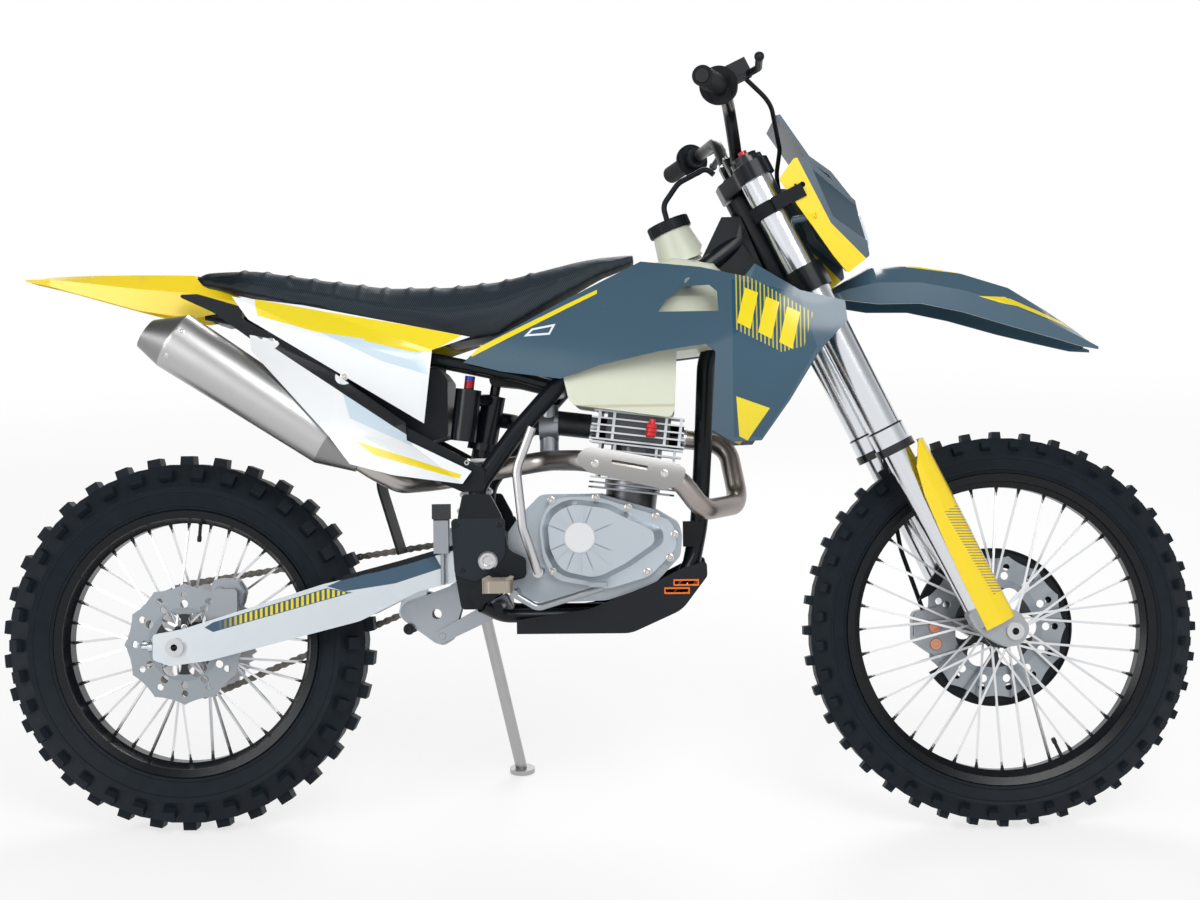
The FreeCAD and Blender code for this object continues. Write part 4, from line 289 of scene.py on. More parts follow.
class Form:
    """A mesh made up of turned shapes and flat plates, in millimetres."""

    def __init__(self):
        self.faces = bmesh.new()

    def point(self, place, x, y, z):
        """A corner, placed by a set of axes."""
        return self.faces.verts.new(place @ Vector((x / 1000, y / 1000, z / 1000)))

    def turn(self, profile, sides=20, place=Matrix()):
        """Turns (radius, height) points about the up axis."""
        rings = []
        for radius, height in profile:
            steps = [math.tau * k / sides for k in range(sides if radius else 1)]
            rings.append([self.point(place, radius * math.cos(a), radius * math.sin(a), height)
                          for a in steps])
        for low, high in zip(rings, rings[1:]):
            for k in range(sides):
                corners = [low[k % len(low)], low[(k + 1) % len(low)],
                           high[(k + 1) % len(high)], high[k % len(high)]]
                self.faces.faces.new(list(dict.fromkeys(corners)))
        return self

    def plate(self, outline, low, high, place=Matrix()):
        """A flat plate between two heights."""
        rings = [[self.point(place, x, y, z) for x, y in outline] for z in (low, high)]
        self.faces.faces.new(rings[0][::-1])
        self.faces.faces.new(rings[1])
        for k in range(len(outline)):
            after = (k + 1) % len(outline)
            self.faces.faces.new((rings[0][k], rings[0][after], rings[1][after], rings[1][k]))
        return self

    def mesh(self, name):
        """The finished mesh, smooth up to its edges."""
        bmesh.ops.recalc_face_normals(self.faces, faces=self.faces.faces)
        mesh = bpy.data.meshes.new(name)
        self.faces.to_mesh(mesh)
        self.faces.free()
        mesh.shade_smooth()
        mesh.set_sharp_from_angle(angle=SMOOTH_UP_TO)
        return mesh


def copier():
    """A tree of nodes that sets a small piece at each point, with its up and forward axes as told."""
    tree = bpy.data.node_groups.new("copies", "GeometryNodeTree")
    sockets = {}
    for name, kind in (("Points", "NodeSocketGeometry"), ("Piece", "NodeSocketObject"),
                       ("Finish", "NodeSocketMaterial")):
        sockets[name] = tree.interface.new_socket(name=name, in_out="INPUT", socket_type=kind).identifier
    tree.interface.new_socket(name="Copies", in_out="OUTPUT", socket_type="NodeSocketGeometry")
    given, result = tree.nodes.new("NodeGroupInput"), tree.nodes.new("NodeGroupOutput")
    piece, copies = tree.nodes.new("GeometryNodeObjectInfo"), tree.nodes.new("GeometryNodeInstanceOnPoints")
    turn, real = tree.nodes.new("FunctionNodeAxesToRotation"), tree.nodes.new("GeometryNodeRealizeInstances")
    turn.primary_axis, turn.secondary_axis = "Z", "X"
    paint = tree.nodes.new("GeometryNodeSetMaterial")
    for k, attribute in enumerate(("way", "ahead")):
        read = tree.nodes.new("GeometryNodeInputNamedAttribute")
        read.data_type = "FLOAT_VECTOR"
        read.inputs["Name"].default_value = attribute
        tree.links.new(read.outputs["Attribute"], turn.inputs[k])
    for out, into in ((given.outputs["Points"], copies.inputs["Points"]),
                      (given.outputs["Piece"], piece.inputs["Object"]),
                      (piece.outputs["Geometry"], copies.inputs["Instance"]),
                      (turn.outputs["Rotation"], copies.inputs["Rotation"]),
                      (copies.outputs["Instances"], real.inputs["Geometry"]),
                      (real.outputs["Geometry"], paint.inputs["Geometry"]),
                      (given.outputs["Finish"], paint.inputs["Material"]),
                      (paint.outputs["Geometry"], result.inputs["Copies"])):
        tree.links.new(out, into)
    return tree, sockets


copies_tree, copies_sockets = copier()


def repeat(name, unit, spots, finish, body):
    """Copies of a small mesh as one piece that rides on a body. A spot is (point, up way, forward way)."""
    cloud = bpy.data.meshes.new(name)
    cloud.from_pydata([tuple(spot[0]) for spot in spots], [], [])
    for k, attribute in ((1, "way"), (2, "ahead")):
        layer = cloud.attributes.new(attribute, "FLOAT_VECTOR", "POINT")
        layer.data.foreach_set("vector", [number for spot in spots for number in spot[k]])
    holder, sample = bpy.data.objects.new(name, cloud), bpy.data.objects.new(name + "_unit", unit)
    for item in (holder, sample):
        bpy.context.scene.collection.objects.link(item)
    modifier = holder.modifiers.new("Copies", "NODES")
    modifier.node_group = copies_tree
    modifier[copies_sockets["Piece"]] = sample
    modifier[copies_sockets["Finish"]] = finish.material
    mesh = bpy.data.meshes.new_from_object(holder.evaluated_get(bpy.context.evaluated_depsgraph_get()))
    bpy.data.objects.remove(sample)
    bpy.data.objects.remove(holder)
    for attribute in ("way", "ahead"):
        if attribute in mesh.attributes:
            mesh.attributes.remove(mesh.attributes[attribute])
    piece = bpy.data.objects.new(name, mesh)
    bpy.context.scene.collection.objects.link(piece)
    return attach(piece, body)


def facing(place, points, way, ahead=(1, 0, 0), both=False):
    """Spots at points in a set of axes, in millimetres. With both, they are mirrored on the other side."""
    turn = place.to_3x3()
    spots = []
    for side in (1, -1) if both else (1,):
        for x, y, z in points:
            spots.append((place @ Vector(mm((x, side * y, z))[0]),
                          turn @ Vector((way[0], side * way[1], way[2])), turn @ Vector(ahead)))
    return spots


black_steel = Finish("black_steel", (0.008, 0.010, 0.012), 0.32, Specular_IOR_Level=0.3).worn(0.12, 200.0)
zinc = Finish("zinc_plate", (0.62, 0.61, 0.58), 0.28, 1.0).worn(0.14, 300.0)
nipple_profile = [(0, -1), (3.4, -1), (3.4, 2.5), (2.6, 3.5), (2.3, 14), (1.4, 15), (0, 15)]
SPOKES, SPOKE_LEAN, NIPPLE_OUT, FLANGE_RADIUS = 36, math.radians(40), 6, 29
RIM_HOLES = {"rear": 214.4, "front": 249.4}
for end, wheel, flange_out in (("rear", rear_wheel, 32.5), ("front", front_wheel, 24.5)):
    spots = []
    for k in range(SPOKES):
        side = 1 if k % 2 else -1
        turned = math.tau * k / SPOKES
        lean = turned + (SPOKE_LEAN if (k // 2) % 2 else -SPOKE_LEAN)
        root = Vector((FLANGE_RADIUS * math.sin(lean), side * flange_out, FLANGE_RADIUS * math.cos(lean)))
        hole = RIM_HOLES[end]
        tip = Vector((hole * math.sin(turned), side * NIPPLE_OUT, hole * math.cos(turned)))
        spots += facing(wheel, [tip], (root - tip).normalized(), (0, 1, 0))
    repeat(end + "_nipples", Form().turn(nipple_profile, 8).mesh("nipple"), spots, black_steel,
           end + "_wheel")

SPOKES_FROM, SHORT_OF_RIM = 0.036, 0.008
for name, wheel, rim_radius in (("rear_hub", rear_wheel, 0.215), ("front_hub", front_wheel, 0.25)):
    laced = Finish(name + "_finish", (0.012, 0.012, 0.014), 0.3)
    away = from_axle(laced, wheel)
    bright = (away - SPOKES_FROM).edge() * (rim_radius - SHORT_OF_RIM - away).edge()
    laced.tint(bright, (0.74, 0.75, 0.77))
    laced.set("Metallic", bright * 0.95)
    dress(name, laced)

CARRIER_SHARE = 0.82
for name, wheel, inner in (("rear_disc", rear_wheel, 0.066), ("front_disc", front_wheel, 0.088)):
    ground = Finish(name + "_finish", (0.27, 0.30, 0.33), 0.3, 1.0)
    away = from_axle(ground, wheel)
    rings = ground.add("ShaderNodeTexNoise", {"noise_dimensions": "1D"}, W=away, Scale=900.0, Detail=2.0)
    ground.tint((away - inner).edge() * 0.5, (0.36, 0.39, 0.42))
    carrier = (inner * CARRIER_SHARE - away).edge()
    ground.tint(carrier, (0.012, 0.013, 0.015)).set("Metallic", 1 - carrier)
    ground.bump(Value(ground, rings.outputs[0]), 0.0002, 0.3)
    dress(name, ground)


def bolt(radius, high, sides=6):
    """A flanged bolt head with a rounded edge and a recess, or a plain round head with more sides."""
    head = Form().turn([(0, 0), (radius * 1.45, 0), (radius * 1.45, high * 0.16), (radius * 1.1, high * 0.3),
                        (radius, high * 0.3)], 18)
    head.turn([(radius, high * 0.28), (radius, high * 0.86), (radius * 0.86, high), (radius * 0.5, high),
               (radius * 0.42, high * 0.55), (0, high * 0.5)], sides)
    return head.mesh("bolt")


def ring_of(count, radius, out, start=0.0):
    """Points on a circle in a side view."""
    turns = [start + math.tau * k / count for k in range(count)]
    return [(radius * math.cos(a), out, radius * math.sin(a)) for a in turns]


repeat("rear_disc_bolts", bolt(4, 3.5), facing(rear_wheel, ring_of(6, 30, -46.3, 0.52), (0, -1, 0)),
       zinc, "rear_wheel")
repeat("front_disc_bolts", bolt(4, 3.5), facing(front_wheel, ring_of(6, 31, 38.3, 0.52), (0, 1, 0)),
       zinc, "front_wheel")
repeat("sprocket_bolts", bolt(4.5, 4.5), facing(rear_wheel, ring_of(6, 36, 73, 0.26), (0, 1, 0)),
       zinc, "rear_wheel")
valve_profile = [(0, -3), (7, -3), (7, 0), (4, 1), (3.2, 3), (3.2, 22), (4.2, 23), (4.2, 31), (3, 33),
                 (0, 33)]
for end, wheel, turned in (("rear", rear_wheel, 0.09), ("front", front_wheel, 2.7)):
    radius = RIM_HOLES[end]
    spot = (radius * math.sin(turned), 0, radius * math.cos(turned))
    way = (-math.sin(turned), 0, -math.cos(turned))
    repeat(end + "_valve", Form().turn(valve_profile, 12).mesh("valve"),
           facing(wheel, [spot], way, (0, 1, 0)), black_steel, end + "_wheel")

steel = Finish("bright_steel", (0.58, 0.58, 0.59), 0.3, 1.0).worn(0.12)
dress("rear_sprocket rear_axle front_axle drive_sprocket kick_starter", steel)

# Chain: oiled steel links round both sprockets, each pair of plates riveted over pins and rollers.
# Narrow and wide links take turns, as on a real roller chain.
PITCH, CHAIN_LINE, LINK_RADIUS = 15.875, 70, 6.4
REAR_TEETH, DRIVE_TEETH = 41, 11
DRIVE = Vector((598, 0, 500))
REAR_RING, DRIVE_RING = PITCH * REAR_TEETH / math.tau, PITCH * DRIVE_TEETH / math.tau
chain_steel = Finish("chain_steel", (0.20, 0.185, 0.165), 0.38, 1.0).worn(0.2, 260.0)
chain_steel.tint(chain_steel.noise(160.0) * 0.6, (0.10, 0.095, 0.09))
dress("chain", chain_steel)
span = DRIVE - Vector((0, 0, REAR_RADIUS * 1000))
slope = math.atan2(span.z, span.x)
bend = math.asin((REAR_RING - DRIVE_RING) / span.length)
top, low = slope + math.pi / 2 - bend, slope - math.pi / 2 + bend
pins, runs = [], []
for centre, ring, start, end, teeth in ((DRIVE, DRIVE_RING, top, low, DRIVE_TEETH),
                                        (DRIVE - span, REAR_RING, low, top - math.tau, REAR_TEETH)):
    steps = round((start - end) / math.tau * teeth)
    arc = [centre + Vector((math.cos(a), 0, math.sin(a))) * ring
           for a in (start + (end - start) * k / steps for k in range(steps + 1))]
    if pins:
        free = round((arc[0] - pins[-1]).length / PITCH)
        runs += [pins[-1].lerp(arc[0], k / free) for k in range(1, free)]
        pins += runs
    pins += arc
free = round((pins[0] - pins[-1]).length / PITCH)
last_run = [pins[-1].lerp(pins[0], k / free) for k in range(1, free)]
pins += last_run
runs += last_run


def link_outline(radius):
    """A link plate: two round ends and a waist, from one pin to the next."""
    ends = [(PITCH if abs(a) < 100 else 0, a) for a in range(-90, 271, 30)]
    outline = [(x + radius * math.cos(math.radians(a)), radius * math.sin(math.radians(a))) for x, a in ends]
    return outline[:7] + [(PITCH / 2, radius * 0.7)] + outline[7:] + [(PITCH / 2, -radius * 0.7)]


for name, low_side, high_side, odd in (("inner_links", 3.5, 4.7, 0), ("outer_links", 4.8, 6.0, 1)):
    unit = Form()
    for side in (-1, 1):
        unit.plate(link_outline(LINK_RADIUS), side * low_side, side * high_side)
        for x in (0, PITCH) if odd else ():
            unit.turn([(2.6, side * high_side), (2.6, side * 6.9), (1.8, side * 7.2), (0, side * 7.2)], 8,
                      Matrix.Translation((x / 1000, 0, 0)))
    spots = []
    for k in range(odd, len(pins), 2):
        ahead = (pins[(k + 1) % len(pins)] - pins[k]).normalized()
        spots += facing(bike, [pins[k] + Vector((0, CHAIN_LINE, 0))], (0, 1, 0), ahead)
    links = repeat(name, unit.mesh(name), spots, chain_steel, "chassis")
    if odd:
        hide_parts("chain")
rollers = Form().turn([(0, -4.6), (4.6, -3.4), (4.6, 3.4), (0, 4.6)], 10).mesh("roller")
repeat("chain_rollers", rollers, facing(bike, [pin + Vector((0, CHAIN_LINE, 0)) for pin in runs], (0, 1, 0)),
       chain_steel, "chassis")

# Swingarm: brushed aluminium arms, with a dark blue printed film and yellow ticks along the outside, and a
# black slider along the front of each. The linkage, brake pedal and gear lever are forged alloy, and the
# pegs are steel.
TICKS_TO_METRE, TICKS_FROM = 110.0, 0.10
brushed = Finish("brushed_aluminium", (0.62, 0.67, 0.71), 0.32, 1.0)
film = brushed.inside(mm((52, 370), (67, 379), (268, 437), (313, 429), (67, 362)))
film_front = brushed.inside(mm((268, 440), (330, 466), (450, 506), (470, 470), (388, 444), (299, 431)))
ahead = brushed.along(bike, 0)
tick = (ahead * TICKS_TO_METRE).sum("FRACT")
ticks = (tick - 0.5).edge(0.08) * (film - 0.0012).edge() * (ahead - TICKS_FROM).edge(0.03)
cover = film.edge().most(film_front.edge())
brushed.tint(cover, (0.030, 0.075, 0.125)).tint(ticks, (0.72, 0.58, 0.02))
brushed.set("Metallic", 1 - cover)
brushed.bump(brushed.noise(60.0, 4.0, (1.0, 8.0, 30.0)), 0.0003, 0.5)
brushed.worn(0.14, 40.0)
dress("swingarm", brushed)
slider_edge = [(290, 449), (396, 473), (489, 499), (543, 509), (540, 519), (487, 509), (394, 483), (300, 459)]
ARM_AT, ARM_WIDE = 96, 24
slider_x, slider_z = slider_edge[0]
slider = Form().plate([(x - slider_x, z - slider_z) for x, z in slider_edge], -ARM_WIDE / 2, ARM_WIDE / 2)
repeat("swingarm_sliders", slider.mesh("slider"),
       facing(bike, [(slider_x, -ARM_AT, slider_z)], (0, -1, 0), both=True), rim_black, "chassis")
link_alloy = Finish("link_alloy", (0.36, 0.39, 0.42), 0.36, 1.0).worn(0.16)
link_alloy.grained(700.0, 0.0004, 0.3)
dress("linkage brake_pedal gear_lever", link_alloy)
peg_steel = Finish("peg_steel", (0.36, 0.32, 0.27), 0.42, 1.0).worn(0.2, 120.0)
dress("footpegs", peg_steel)
repeat("linkage_bolts", bolt(7, 5), facing(bike, [(400, -27, 358), (516, -27, 405)], (0, -1, 0), both=True),
       black_steel, "chassis")

# Frame: steel tubes in satin black paint, with moulded guards bolted over the pivot plates and a plastic
# skid plate with orange slots. The shock's spring is painted white, and its reservoir ends in a red ring
# with a blue adjuster.
frame_black = Finish("frame_black", (0.004, 0.007, 0.010), 0.3, Specular_IOR_Level=0.25)
frame_black.worn(0.14)
dress("main_frame subframe fork_clamps", frame_black)
damper = Finish("damper_black", (0.004, 0.006, 0.009), 0.26, Specular_IOR_Level=0.35)
RING_UP, ADJUSTER_UP, RESERVOIR_FRONT = 0.786, 0.799, 0.540
height, on_reservoir = damper.along(bike, 2), (RESERVOIR_FRONT - damper.along(bike, 0)).edge()
damper.tint((height - RING_UP).edge() * on_reservoir, (0.55, 0.01, 0.02))
damper.tint((height - ADJUSTER_UP).edge() * on_reservoir, (0.03, 0.08, 0.5))
dress("shock", damper)
moulded_black = Finish("moulded_black", (0.006, 0.009, 0.012), 0.46, Specular_IOR_Level=0.2)
moulded_black.grained(1400.0, 0.0003, 0.5)
dress("air_box hand_controls disc_guard", moulded_black)
guard_plastic = Finish("guard_plastic", (0.006, 0.012, 0.019), 0.36, Specular_IOR_Level=0.3)
guard_plastic.grained(1400.0, 0.0003, 0.4)
dress("frame_guards", guard_plastic)
rubber_black = Finish("rubber_black", (0.005, 0.007, 0.009), 0.6, Specular_IOR_Level=0.18)
rubber_black.grained(700.0, 0.0004, 0.4)
dress("mud_flap mask_bands front_brake_hose", rubber_black)
spring_white = Finish("spring_paint", (0.80, 0.81, 0.83), 0.3, Coat_Weight=0.4).worn(0.1)
dress("shock_spring", spring_white)
skid = Finish("skid_plastic", (0.005, 0.007, 0.010), 0.42, Specular_IOR_Level=0.25)
slots = [mm((x - 2, z - 2.6), (x + 42, z - 2.6), (x + 42, z + 8.6), (x - 2, z + 8.6))
         for x, z in ((875, 438), (859, 424))]
skid.tint(skid.within(*slots), (0.85, 0.16, 0.01))
skid.grained(1200.0, 0.0003, 0.5)
dress("skid_plate", skid)
GUARD_OUT = -121.6
guard_spots = [(x, GUARD_OUT, z) for x, z in ((498, 545), (572, 545), (508, 466))]
repeat("guard_bolts", bolt(4, 3), facing(bike, guard_spots, (0, -1, 0), both=True), black_steel, "chassis")
pivot_cap = [(0, 0), (17, 0), (17, 3), (14, 5.5), (9, 5.5), (8, 2.5), (0, 2.5)]
repeat("pivot_caps", Form().turn(pivot_cap, 28).mesh("pivot_cap"),
       facing(bike, [(552, GUARD_OUT, 482)], (0, -1, 0), both=True), steel, "chassis")

# Engine: cast cases with a fine grain, painted side covers and a clutch disc left bright, held by bolts.
# The fins are bright at their edges, with painted shade darkening the gaps between them, and a red cap sits
# on the spark plug.
# The carburettor and the cast parts of the brakes are finished here too.
steel_grey = Finish("steel_grey", (0.42, 0.43, 0.45), 0.3, 1.0).worn(0.12)
cast = Finish("cast_alloy", (0.38, 0.42, 0.46), 0.42, 0.9).worn(0.14)
cast.grained(1100.0, 0.0005, 0.5)
dress("crankcase", cast)
carb_alloy = Finish("carb_alloy", (0.34, 0.37, 0.40), 0.42, 0.9).worn(0.14)
BOOT_FROM = 0.6705
boot = (carb_alloy.along(bike, 0) - BOOT_FROM).edge()
carb_alloy.tint(boot, (0.012, 0.014, 0.018)).set("Metallic", 0.9 - boot * 0.9)
carb_alloy.grained(900.0, 0.0004, 0.4)
dress("carburettor", carb_alloy)
rear_calliper = Finish("rear_brake_alloy", (0.30, 0.32, 0.35), 0.42, 1.0).worn(0.14, 120.0)
CYLINDER_AHEAD, CYLINDER_UP = 0.4, 0.553
cylinder_body = ((rear_calliper.along(bike, 0) - CYLINDER_AHEAD).edge()
                 * (rear_calliper.along(bike, 2) - CYLINDER_UP).edge())
rear_calliper.tint(cylinder_body, (0.012, 0.014, 0.017)).set("Metallic", 1 - cylinder_body)
dress("rear_brake", rear_calliper)
front_calliper = Finish("front_brake_alloy", (0.30, 0.32, 0.35), 0.42, 1.0).worn(0.14, 120.0)
front_calliper.grained(1100.0, 0.0005, 0.4)
dress("front_brake", front_calliper)
piston_profile = [(0, 0), (11, 0), (11, 2), (10, 3), (5.5, 3), (5, 1.6), (0, 1.6)]
piston = Form().turn(piston_profile, 24).mesh("piston")
copper = Finish("copper_piston", (0.60, 0.30, 0.20), 0.3, 1.0).worn(0.1)
repeat("rear_pistons", piston, facing(bike, [(70, -64.3, 428), (92, -64.3, 424)], (0, -1, 0)),
       steel_grey, "chassis")
repeat("front_pistons", piston, facing(fork, [(-52, 24.3, 384), (-40, 24.3, 412)], (0, -1, 0)),
       copper, "steering")
cover_paint = Finish("cover_paint", (0.48, 0.53, 0.58), 0.3, 0.8)
CLUTCH_AHEAD, CLUTCH_UP, FACE_OUT, BRIGHT_DISC = 0.712, 0.521, 0.120, 0.026
ahead, up = cover_paint.along(bike, 0) - CLUTCH_AHEAD, cover_paint.along(bike, 2) - CLUTCH_UP
away = ahead.span(up)
outer_face = (-FACE_OUT - cover_paint.along(bike, 1)).edge()
# Painted shade: dark radial lines on the clutch cover stand for the shade along its ribs.
COVER_RIBS, RIB_HALF, RIBS_FROM, RIBS_TO = 8, 0.0011, 0.028, 0.058
between = abs((up.sum("ARCTAN2", ahead) * (COVER_RIBS / math.tau)).sum("FRACT") - 0.5)
between = between * (math.tau / COVER_RIBS)
painted_rib_shade = (RIB_HALF - between * away).edge(0.0008) * (away - RIBS_FROM).edge() * (RIBS_TO - away).edge(0.01)
cover_paint.tint(painted_rib_shade * outer_face * 0.7, (0.15, 0.17, 0.20))
cover_paint.tint((BRIGHT_DISC - away).edge() * outer_face, (0.72, 0.73, 0.75)).worn(0.1)
cover_paint.grained(1600.0, 0.0003, 0.3)
dress("engine_covers", cover_paint)
COVER_BOLTS = ((662, 586), (740, 590), (796, 572), (844, 556), (876, 524), (868, 484), (828, 460), (664, 462))
repeat("clutch_cover_bolts", bolt(4.6, 5), facing(bike, [(x, -106.8, z) for x, z in COVER_BOLTS], (0, -1, 0)),
       zinc, "chassis")
rotor_spots = [(750 + x, 122.2, 516 + z) for x, _, z in ring_of(5, 48, 0, 0.3)]
repeat("rotor_cover_bolts", bolt(4, 4), facing(bike, rotor_spots, (0, 1, 0)), zinc, "chassis")
FIN_TILT, FIN_EDGE, CAP_OUT, FINS_TOP = math.radians(7), 0.003, 0.085, 0.15
barrel = bike @ Matrix.Translation((0.8, 0, 0.5965)) @ Matrix.Rotation(FIN_TILT, 4, "Y")
for name, half, wide in (("cylinder", 0.0700, 0.062), ("cylinder_head", 0.0740, 0.066)):
    fin_alloy = Finish(name + "_alloy", (0.66, 0.69, 0.72), 0.32, 1.0)
    deep = (half - abs(fin_alloy.along(barrel, 0))).least(wide - abs(fin_alloy.along(barrel, 1)))
    # Painted shade: inward of the fins' outer edges the alloy is darkened, as the gaps between the fins would
    # be in shade.
    painted_fin_shade = (deep - FIN_EDGE).edge(FIN_EDGE) * 0.92
    if name == "cylinder_head":
        cap = (-CAP_OUT - fin_alloy.along(barrel, 1)).edge()
        fin_alloy.tint(painted_fin_shade * (FINS_TOP - fin_alloy.along(barrel, 2)).edge(), (0.05, 0.055, 0.06))
        fin_alloy.tint(cap, (0.62, 0.02, 0.02))
        fin_alloy.set("Metallic", 1 - cap)
    else:
        fin_alloy.tint(painted_fin_shade, (0.05, 0.055, 0.06))
    fin_alloy.worn(0.12)
    dress(name, fin_alloy)

plug_profile = [(0, -12), (7, -12), (9, -9), (9, -4), (8, -3), (9, -2), (9, 3), (8, 4), (9, 5), (9, 9),
                (6, 13), (5, 20), (0, 20)]
red_rubber = Finish("red_rubber", (0.60, 0.015, 0.02), 0.4).worn(0.1)
repeat("plug_cap", Form().turn(plug_profile, 20).mesh("plug_cap"),
       facing(barrel, [(24, -118, 112)], (0, 0, 1)), red_rubber, "chassis")
fin_outline = [(-76, -60), (-68, -68), (68, -68), (76, -60), (76, 60), (68, 68), (-68, 68), (-76, 60)]
low_fin = Form().plate(fin_outline, 0, 3).turn([(50, 3), (50, 8), (48, 9), (0, 9)], 32).mesh("low_fin")
low_alloy = Finish("low_fin_alloy", (0.34, 0.36, 0.39), 0.36, 1.0).worn(0.14)
repeat("low_fins", low_fin, facing(barrel, [(0, 0, 2), (0, 0, 11)], (0, 0, 1)), low_alloy, "chassis")

# Exhaust: a stainless header, tinted brown near the port, and a brushed silencer with darker tapered ends.
# Small screws hold the silencer's ends, and two domed bolts hold the pressed heat shield. The side stand
# is satin steel as well.
PORT_FROM, CAN_FROM, CAN_TO = 0.86, -0.004, 0.318
header = Finish("header_steel", (0.48, 0.45, 0.43), 0.34, 1.0)
header.tint((header.along(bike, 0) - PORT_FROM).edge(0.08) * 0.5, (0.22, 0.17, 0.15)).worn(0.08)
dress("exhaust_pipe", header)
can_across = Vector((0.55, 0, 0.835)).normalized()
CAN_AT = Vector((14.7, -140, 869))
can = axes(bike.to_3x3() @ Vector((0, 1, 0)), bike.to_3x3() @ can_across, bike @ (CAN_AT / 1000))
stainless = Finish("stainless", (0.50, 0.50, 0.50), 0.36, 1.0)
ends = (CAN_FROM - stainless.along(can, 0)).edge().most((stainless.along(can, 0) - CAN_TO).edge())
stainless.tint(ends * 0.75, (0.20, 0.20, 0.20))
stainless.tint(stainless.noise(9.0, 1.0, (1.0, 7.0, 7.0), can) * 0.2, (0.34, 0.34, 0.35)).worn(0.05, 30.0)
dress("silencer", stainless)
satin_steel = Finish("satin_steel", (0.46, 0.46, 0.46), 0.38, 1.0)
satin_steel.tint(satin_steel.noise(30.0) * 0.4, (0.36, 0.355, 0.35)).worn(0.06)
dress("side_stand", satin_steel)
shield_steel = Finish("shield_steel", (0.34, 0.335, 0.33), 0.38, 1.0).worn(0.06)
SHIELD_AT, SHIELD_ACROSS, SHIELD_ROUND = (0.801, 0.639), (0.151, 0.989), 5.0
off_line = ((shield_steel.along(bike, 0) - SHIELD_AT[0]) * SHIELD_ACROSS[0]
            + (shield_steel.along(bike, 2) - SHIELD_AT[1]) * SHIELD_ACROSS[1])
shield_steel.bump(off_line * off_line * -SHIELD_ROUND, 1.0)
dress("heat_shield", shield_steel)
screws = []
for distance, wide, tall, share in ((9, 45, 53, -0.5), (9, 45, 53, 0.45), (304, 42, 46, 0.45)):
    out, lift = wide * math.sqrt(1 - share * share), tall * share
    screws += facing(can, [(distance, -out, lift)], Vector((0, -1, share * 0.8)).normalized())
repeat("silencer_screws", bolt(2.8, 2.2, 12), screws, zinc, "chassis")
repeat("shield_bolts", bolt(4.5, 3.5, 12), facing(bike, [(742, -176, 648), (860, -176, 630)], (0, -1, 0)),
       zinc, "chassis")

# Fuel tank: cream translucent plastic, moulded in halves that meet at a seam, with a black cap.
# The cap is ribbed for the hand, and its breather hose goes into the stem nut.
SEAM_UP = 0.748
tank_cream = Finish("tank_cream", (0.66, 0.70, 0.58), 0.34, Subsurface_Weight=0.15,
                    Subsurface_Radius=(0.03, 0.02, 0.01))
tank_cream.tint(tank_cream.noise(9.0) * 0.5, (0.60, 0.62, 0.48))
seam = (0.0025 - abs(tank_cream.along(bike, 2) - SEAM_UP)).edge(0.001)
tank_cream.tint(seam * 0.5, (0.42, 0.34, 0.22)).grained(500.0, 0.0003, 0.25)
dress("fuel_tank", tank_cream)
dress("tank_cap", moulded_black)
neck_way = Vector((-0.375, 0, 0.927)).normalized()
neck_ahead = Vector((0, 1, 0)).cross(neck_way)
rib_spots = []
NECK_FOOT, CAP_UP, CAP_RADIUS, CAP_RIBS = Vector((899, 0, 1007.4)), 62, 37.4, 26
for k in range(CAP_RIBS):
    a = math.tau * k / CAP_RIBS
    out = neck_ahead * math.cos(a) + Vector((0, 1, 0)) * math.sin(a)
    rib_spots += facing(bike, [NECK_FOOT + neck_way * CAP_UP + out * CAP_RADIUS], neck_way, out)
rib = Form().plate([(0, -2.2), (1.6, -1.5), (1.6, 1.5), (0, 2.2)], 0, 17)
repeat("cap_ribs", rib.mesh("cap_rib"), rib_spots, moulded_black, "chassis")

# Seat: foam on a plastic base, under a grippy black cover with cross ribs on top and a printed weave.
# The cover swells a little between its seams, as stretched vinyl over foam does.
seat_cover = Finish("seat_cover", (0.003, 0.007, 0.011), 0.5, Specular_IOR_Level=0.22)
ahead, up = seat_cover.along(bike, 0), seat_cover.along(bike, 2)
weave = ((ahead + up * 0.6) * 260.0).sum("FRACT") - 0.5
weave = abs(weave) * abs(((ahead - up * 1.6) * 200.0).sum("FRACT") - 0.5) * 4
PRINT_UP, PRINT_FROM = 0.90, 0.12
blocks = (up - PRINT_UP).edge(0.03) * (ahead - PRINT_FROM).edge(0.03)
seat_cover.tint(weave * blocks, (0.050, 0.075, 0.095))
seat_cover.bump(seat_cover.noise(1500.0) * 0.3 + weave * blocks * 0.3, 0.0010, 0.5)
dress("seat", seat_cover)


RIB_EVERY, RIB_HIGH, SEAM_DEEP, FLAP_DEEP = 0.043, 0.0032, 0.0012, 0.009


def ribbed(mesh):
    """Raises the ribs across the seat's top, presses in the seams, and lets the front flaps down."""
    to_bike = bike.inverted()
    turn = to_bike.to_3x3()
    up_way = bike.to_3x3() @ Vector((0, 0, 1))
    normals = [vertex.normal.copy() for vertex in mesh.vertices]
    for vertex, normal in zip(mesh.vertices, normals):
        place, face = to_bike @ vertex.co, turn @ normal
        wave = abs((place.x / RIB_EVERY) % 1 - 0.5) * 2
        rise = max(0.0, 1 - wave * 2.6) * max(0.0, face.z - 0.55) / 0.45 * (0.1 < place.x < 0.66)
        seam = max(0.0, 1 - abs(face.z - 0.5) / 0.10) * (0.03 < place.x < 0.80)
        vertex.co += normal * (rise * RIB_HIGH - seam * SEAM_DEEP)
        flap = min(1.0, max(0.0, (place.x - 0.42) / 0.06)) * max(0.0, min(1.0, (0.6 - face.z) / 0.5))
        vertex.co -= up_way * (flap * FLAP_DEEP)


SLACK, PRESSURE = 0.003, 4.0


